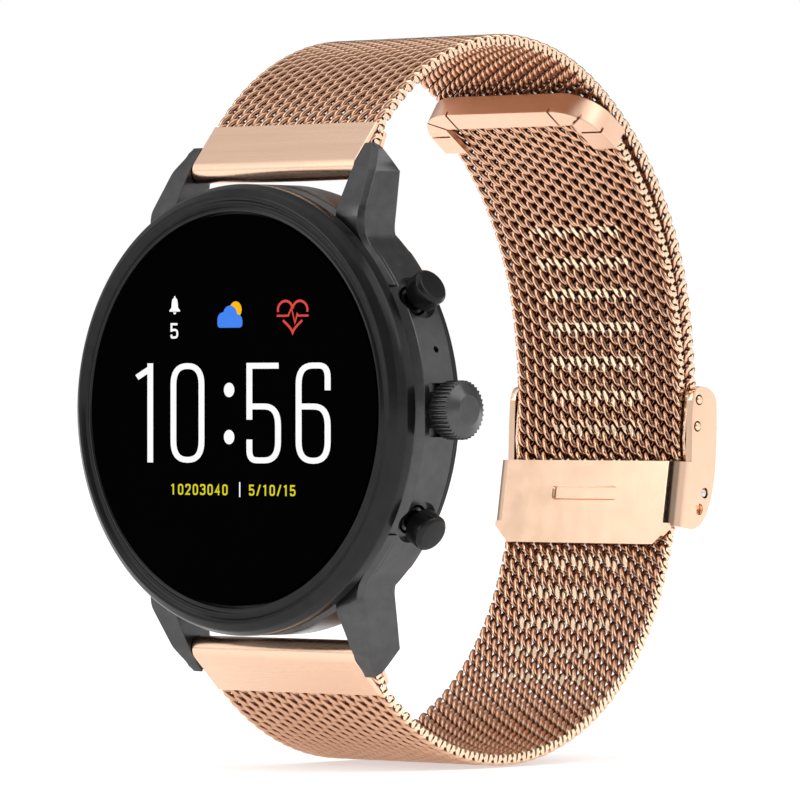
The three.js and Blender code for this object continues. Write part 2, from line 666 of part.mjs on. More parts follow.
function claspParts() {
  const clasp = new THREE.Group();
  clasp.position.set(0, CLASP_Y, CLASP_Z);
  clasp.rotation.x = -radians(CLASP_TILT);
  watch.add(clasp);
  const half = CLASP_WIDTH / 2;
  piece("clasp_body", roseSatin, claspBody(), clasp);
  piece("clasp_lid", roseSatin, claspLid(), clasp);
  piece("clasp_lid_pin", steel, rod(0.4, -half + 0.1, half - 0.1, LID_PIN, 16), clasp);
  piece("clasp_guide_pin", roseSatin, rod(0.45, 0.4 - half, half - 0.4, GUIDE_PIN, 16), clasp);
  piece("band_end_bracket", roseSatin, endBracket(), clasp);
  RIVETS.forEach((place, index) => {
    piece(`clasp_rivet_right_${index + 1}`, rose, rivet(place, 1), clasp);
    piece(`clasp_rivet_left_${index + 1}`, rose, rivet(place, -1), clasp);
  });
}

caseParts();
insideParts();
crownParts();
pusherParts("upper", PUSHER_ANGLE);
pusherParts("lower", -PUSHER_ANGLE);
springBar("upper", 1);
springBar("lower", -1);
bandParts();
claspParts();

export default watch;
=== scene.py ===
"""Looks for a round smartwatch on a woven steel loop band."""

import json
import math

import bmesh
import bpy
import numpy as np
from mathutils import Matrix, Vector


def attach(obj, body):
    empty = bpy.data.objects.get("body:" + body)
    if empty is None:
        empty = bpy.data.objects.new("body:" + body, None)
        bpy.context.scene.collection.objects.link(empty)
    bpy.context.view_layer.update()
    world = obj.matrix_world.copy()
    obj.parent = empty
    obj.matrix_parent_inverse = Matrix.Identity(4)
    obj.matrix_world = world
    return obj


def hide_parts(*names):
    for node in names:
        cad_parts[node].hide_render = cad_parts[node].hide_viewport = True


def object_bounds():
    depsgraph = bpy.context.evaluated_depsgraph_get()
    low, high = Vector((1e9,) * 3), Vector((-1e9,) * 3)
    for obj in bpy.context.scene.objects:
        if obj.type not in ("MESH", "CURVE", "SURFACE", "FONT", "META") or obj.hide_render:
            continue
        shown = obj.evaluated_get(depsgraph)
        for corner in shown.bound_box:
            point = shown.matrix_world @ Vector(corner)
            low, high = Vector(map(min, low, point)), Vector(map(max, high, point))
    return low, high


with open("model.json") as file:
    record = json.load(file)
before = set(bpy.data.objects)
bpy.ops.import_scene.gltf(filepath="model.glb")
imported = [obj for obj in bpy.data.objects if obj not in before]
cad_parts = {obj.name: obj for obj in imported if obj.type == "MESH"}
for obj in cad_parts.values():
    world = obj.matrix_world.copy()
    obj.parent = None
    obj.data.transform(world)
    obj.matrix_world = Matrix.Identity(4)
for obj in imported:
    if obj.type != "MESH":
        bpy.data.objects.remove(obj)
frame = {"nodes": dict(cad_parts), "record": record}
cad_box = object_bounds()

MM = 0.001
radians = math.radians

# ---------------------------------------------------------------- dimensions, in millimetres
# The frame is the CAD part's: origin at the rear sensor window, +Y out of the case back,
# +Z to 12 o'clock, +X to the crown.
CASE_RADIUS = 22
CASE_BORE = 19.3
CASE_FRONT = -9
CASE_REAR = -3.4
RIM_FRONT = -3.85
GLASS_RADIUS = 19.05
GLASS_FRONT = -11.85
LUG_GAP = 22
BAR_Y = -4.9
BAR_Z = 23.6
CROWN_Y = -6.15
CROWN_TEETH = 36
CROWN_ROOT = 23.2
CROWN_END = 25.9
PUSHER_ANGLE = 29.5
PUSHER_ROOT = 22.4
PUSHER_END = 24.4
SCREW_CIRCLE = 20.35
SCREW_ANGLES = (45, 135, 225, 315)

BAND_WIDTH = 21.9
BAND_THICKNESS = 1.35
BAND_OFFSET = 0.55
BAND_START = 5
END_PIECE_LENGTH = 4.7
END_PIECE_RADIUS = 1.3
END_PIECE_SHEET = 0.5
UPPER_HEADING = 50.3
LOWER_HEADING = 44
UPPER_ARCS = ((24.4, 32.5), (23.4, 51.5), (33.5, 46.3), (67.9, 13.7))
LOWER_ARCS = ((25.3, 113.1), (52.6, 31), (32.5, 45))
TRIM_LENGTH = 5.2
TRIM_TOP = 1.2
TRIM_CORNER = 4.2
TRIM_ARM = 2.95
TRIM_FACES = (-1.75, 0.7)
TRIM_SLITS = ((6.85, -1.1, 90), (8, -1.4, 33), (8.9, -2.36, 0))

CLASP_Y = 42.8
CLASP_Z = -7.6
CLASP_TILT = 9
CLASP_WIDTH = 24.9
CLASP_SHEET = 0.45
CHEEK_THICKNESS = 0.8
CHEEK_GAP = 0.15
PLATE_FACE = -2.25
SLOT_DEPTH = 0.3
LID_PIN = (2.1, -0.6)
GUIDE_PIN = (1.45, -2.35)
RIVETS = ((-0.1, 5.95), (-0.25, 8.65))
EAR_OUTER = CLASP_WIDTH / 2 - CHEEK_THICKNESS - CHEEK_GAP
EAR_THICKNESS = 0.35

# Wire mesh of the band: flattened spirals across the band, each linked into the next.
WIRE_RADIUS = 0.295
COIL_STEP = 0.71
COIL_TURNS = 9.417
COIL_PITCH = BAND_WIDTH / COIL_TURNS
COIL_REACH = 0.76
COIL_DEPTH = 0.43
COIL_SEGMENTS = 12
WIRE_SIDES = 8
TUCK_LENGTH = 3.4
TUCK_DROP = 0.45
TIP_ROUND = 3.4

# Cuts across the inner face of the lower half, in which the clasp's nose catches.
CUT_FIRST = 16.3
CUT_STEP = 3.5
CUT_COUNT = 15
CUT_HEIGHT = 1.25
CUT_HALF_WIDTH = 6.2
CUT_LEVEL = 0.42

# Painted shade on the wire: brown up to the first depth (0 at the weave's middle, 1 at its face) and
# its full tone from the second, a little less of it on the outer side, also painted shade, and bright
# where ground, as bare metal with a painted highlight.
WEAVE_SHADE = (0.1, 1.0)
# Share of the full tone on the outer side: painted shade, a little darker there.
OUTER_SHARE = 0.82
PAINTED_SHADE_ROSE = (0.27, 0.12, 0.065, 1)
# Ground wire: bare metal, lighter still as a painted highlight.
GROUND_ROSE_AND_HIGHLIGHT = (0.96, 0.72, 0.51, 1)

# Where the camera stands.
CAMERA_PLACE = (478.4, -511.6, 0.97)
CAMERA_AZIMUTH = 42.397
CAMERA_LENS = 320.3

# Soft studio light: an even glow, and broad soft boxes as (direction, cosine at the edge, cosine
# where it is full, amount).
AMBIENT = 0.3
SOFT_LIGHTS = (
    ((-0.7, -0.68, 0.15), 0.72, 0.93, 0.45),
    ((0.7, 0.7, 0.05), 0.76, 0.96, 0.75),
    ((0.98, -0.2, 0), 0.82, 0.97, 0.45),
    ((-0.69, -0.13, 0.72), 0.8, 0.97, 0.35),
    ((-0.1, -0.3, 0.95), 0.78, 0.97, 0.9),
)
# Lamps as (name, place in metres, size, watts), all aimed at the case.
LAMPS = (
    ("key", (-0.5, -0.9, 0.5), (0.5, 0.7), 2.5),
    ("fill", (0.7, 0.2, 0.75), (0.8, 0.8), 4),
)
FLOOR_HALF = 6000
FLOOR_DROP = 0.2
FLOOR_GLOW = 0.5


# ---------------------------------------------------------------- mesh helpers
# Edges sharper than this many degrees stay sharp.
SHARP_ANGLE = 35
# Vertices closer than this, in metres, become one: in a new mesh, and after a boolean.
MERGE_NEW = 2e-7
MERGE_CUT = 5e-7


def arc(centre, radius, start, end, steps=8):
    """Points on an arc of a circle; angles in degrees."""
    angles = np.radians(np.linspace(start, end, steps + 1))
    return [(centre[0] + radius * math.cos(a), centre[1] + radius * math.sin(a)) for a in angles]


def curve(start, control, end, steps=8):
    """Points on a quadratic curve, without its first point."""
    places = []
    for t in np.linspace(0, 1, steps + 1)[1:]:
        weights = ((1 - t) ** 2, 2 * t * (1 - t), t * t)
        places.append(tuple(
            weights[0] * start[i] + weights[1] * control[i] + weights[2] * end[i] for i in range(2)
        ))
    return places


def rounded(points, radius, steps=3, closed=True):
    """A polygon with its corners rounded. radius is one number, or one for each corner."""
    radii = list(radius) if hasattr(radius, "__len__") else [radius] * len(points)
    count = len(points)
    result = []
    for index, point in enumerate(points):
        corner = Vector(point)
        ends = not closed and index in (0, count - 1)
        if ends or radii[index] <= 0:
            result.append(tuple(corner))
            continue
        before = Vector(points[index - 1]) - corner
        after = Vector(points[(index + 1) % count]) - corner
        opening = before.angle(after)
        if opening > radians(178):
            result += [tuple(corner)] * (steps + 1)
            continue
        reach = radii[index] / math.tan(opening / 2)
        reach = min(reach, 0.48 * before.length, 0.48 * after.length)
        start = corner + before.normalized() * reach
        end = corner + after.normalized() * reach
        for t in np.linspace(0, 1, steps + 1):
            result.append(tuple((1 - t) ** 2 * start + 2 * t * (1 - t) * corner + t * t * end))
    return result


def shade(mesh, sharp):
    mesh.shade_smooth()
    mesh.set_sharp_from_angle(angle=radians(sharp))


def mesh_object(name, verts, faces, smooth=True, sharp=SHARP_ANGLE, merge=True):
    """A mesh object from vertices in millimetres, with its normals made to point outwards."""
    mesh = bpy.data.meshes.new(name)
    mesh.from_pydata([tuple(v) for v in np.asarray(verts, dtype=float) * MM], [], faces)
    clean = bmesh.new()
    clean.from_mesh(mesh)
    if merge:
        bmesh.ops.remove_doubles(clean, verts=clean.verts, dist=MERGE_NEW)
    bmesh.ops.recalc_face_normals(clean, faces=clean.faces)
    clean.to_mesh(mesh)
    clean.free()
    if smooth:
        shade(mesh, sharp)
    obj = bpy.data.objects.new(name, mesh)
    bpy.context.scene.collection.objects.link(obj)
    return obj


def skin(rows, count, round_rows=True, closed=True):
    """Faces between neighbouring rows of count points each; a closed row joins its own ends."""
    faces = []
    for i in range(rows if round_rows else rows - 1):
        for j in range(count if closed else count - 1):
            a, b = i * count + j, i * count + (j + 1) % count
            c, d = ((i + 1) % rows) * count + (j + 1) % count, ((i + 1) % rows) * count + j
            faces.append((a, b, c, d))
    return faces


def lathe(name, profile, segments=192, axis="Y"):
    """A closed profile of (radius, place) points turned about Y or X."""
    angles = np.linspace(0, 2 * np.pi, segments, endpoint=False)
    radius = np.array([p[0] for p in profile])
    place = np.array([p[1] for p in profile])
    cosines = np.outer(np.cos(angles), radius)
    sines = np.outer(np.sin(angles), radius)
    places = np.tile(place, (segments, 1))
    order = (cosines, places, sines) if axis == "Y" else (places, cosines, sines)
    return mesh_object(name, np.stack(order, axis=-1).reshape(-1, 3), skin(segments, len(profile)))


def extrusion(outline, low, high, plane="front"):
    """Vertices and faces of an extruded outline.

    A side outline is (y, z) and goes along X, a front one (x, z) along Y, a plan (x, y) along Z."""
    def at(point, depth):
        a, b = point
        return {"side": (depth, a, b), "front": (a, depth, b), "plan": (a, b, depth)}[plane]

    count = len(outline)
    verts = [at(p, low) for p in outline] + [at(p, high) for p in outline]
    faces = [tuple(range(count)), tuple(range(2 * count - 1, count - 1, -1))]
    faces += [(i, (i + 1) % count, count + (i + 1) % count, count + i) for i in range(count)]
    return verts, faces


def prism(name, outline, low, high, plane="side", bevel=0.0, bevel_steps=2, sharp=SHARP_ANGLE):
    obj = mesh_object(name, *extrusion(outline, low, high, plane), sharp=sharp)
    if bevel:
        soften(obj, bevel, bevel_steps, sharp)
    return obj


def loft(name, sections):
    """A solid through closed sections that have the same number of points."""
    count = len(sections[0])
    verts = [p for section in sections for p in section]
    faces = [tuple(range(count)), tuple(range(len(verts) - 1, len(verts) - count - 1, -1))]
    return mesh_object(name, verts, faces + skin(len(sections), count, round_rows=False))


def soften(obj, width, steps, angle):
    """Rounds the edges that are sharper than an angle."""
    work = bmesh.new()
    work.from_mesh(obj.data)
    bmesh.ops.dissolve_limit(work, angle_limit=radians(0.5), verts=work.verts, edges=work.edges)
    edges = [e for e in work.edges if len(e.link_faces) == 2 and e.calc_face_angle() > radians(angle)]
    bmesh.ops.bevel(
        work, geom=edges, offset=width * MM, segments=steps, profile=0.5, affect="EDGES",
        clamp_overlap=True,
    )
    work.to_mesh(obj.data)
    work.free()
    shade(obj.data, angle)


def apply_modifiers(obj):
    graph = bpy.context.evaluated_depsgraph_get()
    mesh = bpy.data.meshes.new_from_object(obj.evaluated_get(graph))
    obj.modifiers.clear()
    obj.data = mesh


def even_shading(obj):
    """Large faces keep their own normal, so that rounded edges shade evenly."""
    modifier = obj.modifiers.new("normals", "WEIGHTED_NORMAL")
    modifier.keep_sharp = True
    modifier.weight = 100
    apply_modifiers(obj)


def combine(obj, others, operation):
    """Applies a boolean with each other object, which is used up."""
    for other in others:
        modifier = obj.modifiers.new("boolean", "BOOLEAN")
        modifier.operation = operation
        modifier.solver = "EXACT"
        modifier.object = other
        apply_modifiers(obj)
        bpy.data.objects.remove(other)
    work = bmesh.new()
    work.from_mesh(obj.data)
    bmesh.ops.remove_doubles(work, verts=work.verts, dist=MERGE_CUT)
    work.to_mesh(obj.data)
    work.free()
    shade(obj.data, SHARP_ANGLE)


def placed(obj, matrix):
    """Moves the mesh itself; a matrix that mirrors also turns its faces round."""
    scaled = matrix.copy()
    scaled.translation = matrix.translation * MM
    obj.data.transform(scaled)
    if scaled.determinant() < 0:
        obj.data.flip_normals()
    return obj


def rod(name, radius, x0, x1, centre, segments=48, flare=0.0):
    """A round bar along X with rounded ends, or a cutter that flares at its far end."""
    if flare:
        profile = [(0, x0), (radius, x0), (radius, x1 - flare), (radius + flare, x1), (0, x1)]
    else:
        soft = min(0.12, radius / 3)
        profile = rounded([(0, x0), (radius, x0), (radius, x1), (0, x1)], [0, soft, soft, 0])
    obj = lathe(name, profile, segments, axis="X")
    return placed(obj, Matrix.Translation((0, centre[0], centre[1])))


def block(name, x, y, z):
    """A box from its two ends along each axis."""
    verts = [(a, b, c) for a in x for b in y for c in z]
    faces = [(0, 1, 3, 2), (4, 6, 7, 5), (0, 4, 5, 1), (2, 3, 7, 6), (0, 2, 6, 4), (1, 5, 7, 3)]
    return mesh_object(name, verts, faces)


def show(obj, body, slot_name, material, *nodes):
    """Rides a piece on its body, gives it its material and hides the CAD nodes that it stands for."""
    if material is not wire_rose:
        even_shading(obj)
    obj.data.materials.clear()
    obj.data.materials.append(material)
    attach(obj, body)
    if nodes:
        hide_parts(*nodes)


# ---------------------------------------------------------------- materials
def node_tree(name):
    material = bpy.data.materials.new(name)
    material.use_nodes = True
    tree = material.node_tree
    return material, tree, tree.nodes["Principled BSDF"]


def add_node(tree, kind, inputs=(), **settings):
    node = tree.nodes.new(kind)
    for key, value in settings.items():
        setattr(node, key, value)
    for key, value in dict(inputs).items():
        if isinstance(value, bpy.types.NodeSocket):
            tree.links.new(value, node.inputs[key])
        else:
            node.inputs[key].default_value = value
    return node


def mapped(tree, scale):
    place = add_node(tree, "ShaderNodeTexCoord")
    mapping = add_node(tree, "ShaderNodeMapping", {"Vector": place.outputs["Object"], "Scale": scale})
    return mapping.outputs["Vector"]


def ramp(tree, factor, stops):
    """stops are (position, colour) pairs."""
    node = add_node(tree, "ShaderNodeValToRGB", {"Fac": factor})
    elements = node.color_ramp.elements
    while len(elements) < len(stops):
        elements.new(0.5)
    for element, (position, colour) in zip(elements, stops):
        element.position = position
        element.color = (*colour, 1)
    return node.outputs["Color"]


def spread(tree, factor, low, high):
    node = add_node(tree, "ShaderNodeMapRange", {"Value": factor, "To Min": low, "To Max": high})
    return node.outputs["Result"]


def surface(name, colours, rough, metallic=1.0, grain=(400, 400, 400), cloud=60, bump=0.1,
            bump_scale=(3000, 3000, 3000), specular=0.5):
    """A metal or plastic: clouded colour, uneven polish and a fine grain raised by bump."""
    material, tree, shader = node_tree(name)
    blotches = add_node(tree, "ShaderNodeTexNoise", {"Vector": mapped(tree, (1, 1, 1)), "Scale": cloud})
    fine = add_node(tree, "ShaderNodeTexNoise", {
        "Vector": mapped(tree, grain), "Scale": 1.0, "Detail": 3,
    })
    mix = add_node(tree, "ShaderNodeMath", {0: blotches.outputs["Fac"], 1: fine.outputs["Fac"]})
    mix.operation = "ADD"
    half = add_node(tree, "ShaderNodeMath", {0: mix.outputs["Value"], 1: 0.5})
    half.operation = "MULTIPLY"
    colour = ramp(tree, half.outputs["Value"], [(0.3, colours[0]), (0.7, colours[1])])
    tree.links.new(colour, shader.inputs["Base Color"])
    tree.links.new(spread(tree, fine.outputs["Fac"], rough[0], rough[1]), shader.inputs["Roughness"])
    shader.inputs["Metallic"].default_value = metallic
    shader.inputs["Specular IOR Level"].default_value = specular
    marks = add_node(tree, "ShaderNodeTexNoise", {"Vector": mapped(tree, bump_scale), "Scale": 1.0})
    raised = add_node(tree, "ShaderNodeBump", {
        "Strength": bump, "Distance": 0.00002, "Height": marks.outputs["Fac"],
    })
    tree.links.new(raised.outputs["Normal"], shader.inputs["Normal"])
    return material


def paint_weave_shade(material):
    """Painted shade darkens wire deep in the weave; ground wire is bare, with a painted highlight."""
    tree = material.node_tree
    shader = tree.nodes["Principled BSDF"]
    tone = shader.inputs["Base Color"].links[0].from_socket
    # Painted shade, from how deep the wire lies in the weave.
    depth = add_node(tree, "ShaderNodeAttribute", attribute_name="face_depth")
    shade = add_node(tree, "ShaderNodeMapRange", {
        "Value": depth.outputs["Fac"], "From Min": WEAVE_SHADE[0], "From Max": WEAVE_SHADE[1],
    }, interpolation_type="SMOOTHSTEP")
    shaded_tone = add_node(tree, "ShaderNodeMix", {
        0: shade.outputs["Result"], 6: PAINTED_SHADE_ROSE, 7: tone,
    }, data_type="RGBA")
    # Ground faces: bare metal with a painted highlight.
    ground = add_node(tree, "ShaderNodeAttribute", attribute_name="ground_flat")
    bright = add_node(tree, "ShaderNodeMix", {
        0: ground.outputs["Fac"], 6: shaded_tone.outputs[2], 7: GROUND_ROSE_AND_HIGHLIGHT,
    }, data_type="RGBA")
    tree.links.new(bright.outputs[2], shader.inputs["Base Color"])
    return material


wire_rose = paint_weave_shade(surface(
    "wire_rose", ((0.74, 0.44, 0.29), (0.84, 0.53, 0.365)), (0.11, 0.22), cloud=900, bump=0.15,
))
sheet_rose = surface(
    "sheet_rose", ((0.9, 0.6, 0.43), (0.94, 0.645, 0.47)), (0.2, 0.32), grain=(60, 2500, 2500),
    cloud=80, bump=0.05, bump_scale=(120, 9000, 9000),
)
polished_rose = surface(
    "polished_rose", ((0.93, 0.62, 0.44), (0.95, 0.655, 0.475)), (0.1, 0.2), cloud=120, bump=0.05,
)
trim_rose = surface(
    "trim_rose", ((0.86, 0.55, 0.39), (0.9, 0.6, 0.44)), (0.3, 0.42), cloud=120, bump=0.08,
    grain=(900, 900, 90), bump_scale=(5000, 5000, 300),
)
bright_steel = surface("bright_steel", ((0.6, 0.6, 0.6), (0.75, 0.75, 0.74)), (0.18, 0.32), cloud=300)
graphite = surface(
    "graphite", ((0.062, 0.062, 0.064), (0.096, 0.096, 0.098)), (0.2, 0.3), metallic=0.85, cloud=90,
    grain=(900, 900, 900), bump=0.18,
)
ring_black = surface(
    "ring_black", ((0.014, 0.014, 0.015), (0.022, 0.022, 0.023)), (0.16, 0.26), metallic=0.7, cloud=70,
    grain=(700, 700, 700), bump=0.08, specular=0.35,
)
rubber = surface(
    "rubber", ((0.012, 0.012, 0.012), (0.02, 0.02, 0.02)), (0.6, 0.8), metallic=0, cloud=400,
)
circuit = surface(
    "circuit", ((0.01, 0.07, 0.03), (0.02, 0.12, 0.05)), (0.35, 0.5), metallic=0, cloud=700,
)
dark_plastic = surface(
    "dark_plastic", ((0.015, 0.015, 0.016), (0.03, 0.03, 0.03)), (0.45, 0.6), metallic=0,
)
copper = surface("copper", ((0.7, 0.32, 0.16), (0.8, 0.42, 0.22)), (0.25, 0.4), grain=(3000, 300, 3000))
foil = surface("foil", ((0.42, 0.43, 0.45), (0.55, 0.56, 0.58)), (0.35, 0.5), cloud=200)


def glass_material(name, tint, ior):
    material, tree, shader = node_tree(name)
    haze = add_node(tree, "ShaderNodeTexNoise", {"Vector": mapped(tree, (1, 1, 1)), "Scale": 45})
    colour = ramp(tree, haze.outputs["Fac"], [(0.3, tint), (0.8, tuple(1.4 * c for c in tint))])
    tree.links.new(colour, shader.inputs["Base Color"])
    tree.links.new(spread(tree, haze.outputs["Fac"], 0.03, 0.06), shader.inputs["Roughness"])
    shader.inputs["IOR"].default_value = ior
    return material


dial_glass = glass_material("dial_glass", (0.0006, 0.0006, 0.0007), 1.02)
rear_glass = glass_material("rear_glass", (0.004, 0.004, 0.005), 1.45)


def lit(name, colour):
    """A lit area of the display, with the faint unevenness of its panel."""
    material, tree, shader = node_tree(name)
    panel = add_node(tree, "ShaderNodeTexNoise", {"Vector": mapped(tree, (1, 1, 1)), "Scale": 900})
    darker = tuple(0.97 * c for c in colour)
    tone = ramp(tree, panel.outputs["Fac"], [(0.3, darker), (0.7, colour)])
    tree.links.new(tone, shader.inputs["Emission Color"])
    shader.inputs["Base Color"].default_value = (0, 0, 0, 1)
    shader.inputs["Specular IOR Level"].default_value = 0.0
    shader.inputs["Emission Strength"].default_value = 1.0
    return material


# ---------------------------------------------------------------- camera, floor and light
def set_camera():
    data = bpy.data.cameras.new("camera")
    data.lens = CAMERA_LENS
    data.sensor_width = 36
    data.clip_start = 0.01
    data.clip_end = 20
    camera = bpy.data.objects.new("camera", data)
    camera.location = Vector(CAMERA_PLACE) * MM
    camera.rotation_euler = (radians(90), 0, radians(CAMERA_AZIMUTH))
    bpy.context.scene.collection.objects.link(camera)
    bpy.context.scene.camera = camera


def set_floor():
    half = FLOOR_HALF
    level = cad_box[0][2] / MM - FLOOR_DROP
    corners = [(-half, -half, level), (half, -half, level), (half, half, level), (-half, half, level)]
    floor = mesh_object("floor", corners, [(0, 1, 2, 3)], smooth=False)
    material, tree, shader = node_tree("floor")
    tone = add_node(tree, "ShaderNodeTexNoise", {"Vector": mapped(tree, (1, 1, 1)), "Scale": 3})
    colour = ramp(tree, tone.outputs["Fac"], [(0.2, (0.93, 0.93, 0.93)), (0.8, (0.95, 0.95, 0.95))])
    tree.links.new(colour, shader.inputs["Base Color"])
    shader.inputs["Roughness"].default_value = 0.9
    shader.inputs["Specular IOR Level"].default_value = 0.0
    shader.inputs["Emission Color"].default_value = (1, 1, 1, 1)
    shader.inputs["Emission Strength"].default_value = FLOOR_GLOW
    floor.data.materials.append(material)


def set_world():
    world = bpy.data.worlds.new("studio")
    bpy.context.scene.world = world
    world.use_nodes = True
    tree = world.node_tree
    tree.nodes.clear()
    place = add_node(tree, "ShaderNodeTexCoord")
    total = add_node(tree, "ShaderNodeValue")
    total.outputs[0].default_value = AMBIENT
    value = total.outputs[0]
    for direction, start, full, amount in SOFT_LIGHTS:
        facing = add_node(tree, "ShaderNodeVectorMath", {0: place.outputs["Generated"]},
                          operation="DOT_PRODUCT")
        facing.inputs[1].default_value = Vector(direction).normalized()
        glow = add_node(tree, "ShaderNodeMapRange", {
            "Value": facing.outputs["Value"], "From Min": start, "From Max": full, "To Max": amount,
        }, interpolation_type="SMOOTHSTEP")
        value = add_node(tree, "ShaderNodeMath", {0: value, 1: glow.outputs["Result"]}).outputs[0]
    studio = add_node(tree, "ShaderNodeBackground", {"Color": (1, 1, 1, 1), "Strength": value})
    backdrop = add_node(tree, "ShaderNodeBackground", {"Color": (1, 1, 1, 1), "Strength": 1.0})
    path = add_node(tree, "ShaderNodeLightPath")
    mix = add_node(tree, "ShaderNodeMixShader", {
        0: path.outputs["Is Camera Ray"], 1: studio.outputs[0], 2: backdrop.outputs[0],
    })
    add_node(tree, "ShaderNodeOutputWorld", {"Surface": mix.outputs[0]})


def area_light(name, place, size, power):
    data = bpy.data.lights.new(name, "AREA")
    data.shape = "RECTANGLE"
    data.size, data.size_y = size
    data.energy = power
    light = bpy.data.objects.new(name, data)
    light.location = place
    light.rotation_euler = (-Vector(place)).to_track_quat("-Z", "Y").to_euler()
    bpy.context.scene.collection.objects.link(light)


set_camera()
set_floor()
set_world()
for lamp in LAMPS:
    area_light(*lamp)
bpy.context.scene.view_settings.view_transform = "Standard"


# ---------------------------------------------------------------- case
def lug_edges():
    """Front and rear edges of a lug as (z, y) lines, and its side at each edge as (z, x) lines."""
    front = rounded([(12, -8.95), (19.2, -8.95), (23.7, -6.4), (26, -4.6)], [0, 3, 3, 0], 8,
                    closed=False)
    rear = rounded(
        [(12, CASE_REAR), (15.2, CASE_REAR), (16.9, -4.25), (23.1, -3.34), (26, -4.6)],
        [0, 0.6, 1.0, 0.2, 0], 4, closed=False,
    )
    side_front = rounded([(12, 14.4), (19.5, 14.4), (23.4, 13.75), (25.4, 12.7), (26, 11.7)],
                         [0, 3, 2, 0.4, 0], 8, closed=False)
    side_rear = [(12, 14.45), (23.1, 14.45), (25.4, 13.14), (26, 12.1)]
    return [np.array(line) for line in (front, rear, side_front, side_rear)]


def lug_sweep(z, plain=14.4, fillet=3.2):
    """How much further out a lug's side is where it sweeps out to meet the case wall."""
    centre_x = plain + fillet
    centre_z = math.sqrt((CASE_RADIUS + fillet) ** 2 - centre_x ** 2)
    if z >= centre_z:
        return 0
    touch = centre_z * CASE_RADIUS / (CASE_RADIUS + fillet)
    if z >= touch:
        return fillet - math.sqrt(fillet ** 2 - (z - centre_z) ** 2)
    return math.sqrt(CASE_RADIUS ** 2 - z * z) - 0.05 - plain


def lug(name, side_x, side_z):
    front, rear, side_front, side_rear = lug_edges()
    stations = np.unique(np.concatenate([
        np.linspace(12, 25.9, 50), front[:, 0], rear[:, 0], side_front[:, 0],
    ]))
    sections = []
    for z in stations[stations <= 25.93]:
        y_front, y_rear, x_front, x_rear = (
            np.interp(z, line[:, 0], line[:, 1]) for line in (front, rear, side_front, side_rear)
        )
        depth = y_rear - y_front
        facet = min(0.5, 0.4 * depth)
        corner = min(0.1, 0.15 * depth)
        wall = math.sqrt(CASE_RADIUS ** 2 - min(z, 21.5) ** 2) if z < 16.2 else 0
        sweep = lug_sweep(z)
        outline = [
            (LUG_GAP / 2, y_front), (x_front + sweep - facet, y_front),
            (x_front + sweep, y_front + facet), (max(x_rear + sweep, wall - 0.05), y_rear),
            (LUG_GAP / 2, y_rear),
        ]
        ring = rounded(outline, [corner, corner * 1.2, corner * 1.2, corner * 1.5, corner], 3)
        sections.append([(x * side_x, y, z * side_z) for x, y in ring])
    return loft(name, sections)


def radial(obj, angle):
    """Turns a shape drawn along +X to an angle above 3 o'clock."""
    return placed(obj, Matrix.Rotation(-radians(angle), 4, "Y"))


def middle_case():
    wall = lathe("case_middle", rounded([
        (CASE_BORE, CASE_FRONT), (21.1, CASE_FRONT), (CASE_RADIUS, -8.1), (CASE_RADIUS, RIM_FRONT),
        (CASE_BORE, RIM_FRONT),
    ], [0, 0.1, 0.25, 0.1, 0]), 288)
    lugs = [lug("lug", x, z) for x in (-1, 1) for z in (-1, 1)]
    combine(wall, lugs, "UNION")
    inside = lathe("inside", [(0, -12), (CASE_BORE, -12), (CASE_BORE, 0), (0, 0)], 288)
    pocket = prism("pocket", rounded([(-7.45, -2.6), (-4.85, -2.6), (-4.85, 2.6), (-7.45, 2.6)], 0.25),
                   20.9, 24)
    bore = rod("bore", 1.75, 15, 24, (CROWN_Y, 0), flare=0.01)
    mic = radial(rod("mic", 0.32, 18, 22.3, (-5.7, 0), 24, flare=0.35), 15.4)
    cutters = [inside, pocket, bore, mic]
    for angle in (-PUSHER_ANGLE, PUSHER_ANGLE):
        cutters.append(radial(rod("bore", 1.6, 18, 24, (CROWN_Y, 0), flare=0.01), angle))
        cutters.append(radial(rod("recess", 2.25, 21.3, 22.2, (CROWN_Y, 0), 64, flare=0.3), angle))
    for side in (-1, 1):
        cutters.append(rod("bar_hole", 0.52, -12.6, 12.6, (BAR_Y, BAR_Z * side), 24, flare=0.01))
    combine(wall, cutters, "DIFFERENCE")
    show(wall, "case", "graphite_case", graphite, "mid_case")


def front_ring():
    ring = lathe("front_ring", rounded([
        (18.2, -10.65), (19.3, -10.65), (19.3, -11.78), (19.45, -11.9), (19.62, -11.86),
        (19.85, -11.68), (20.25, -11.68), (20.5, -11.98), (20.85, -12), (21.55, -11.55),
        (22, -10.75), (22, -9.45), (21.45, -9.3), (18.2, -9.3),
    ], [0, 0, 0.05, 0.08, 0.1, 0.2, 0.2, 0.12, 0.3, 0.8, 0.8, 0.25, 0.1, 0], 5), 320)
    show(ring, "case", "black_ring", ring_black, "bezel")


def crystal():
    glass = lathe("crystal", rounded([
        (0, GLASS_FRONT), (GLASS_RADIUS, GLASS_FRONT), (GLASS_RADIUS, -10.95), (0, -10.95),
    ], [0, 0.2, 0.05, 0], 5), 256)
    show(glass, "case", "cover_glass", dial_glass, "cover_glass")


def screw_place(angle):
    x, z = SCREW_CIRCLE * math.cos(radians(angle)), SCREW_CIRCLE * math.sin(radians(angle))
    return Matrix.Translation((x, 0, z))


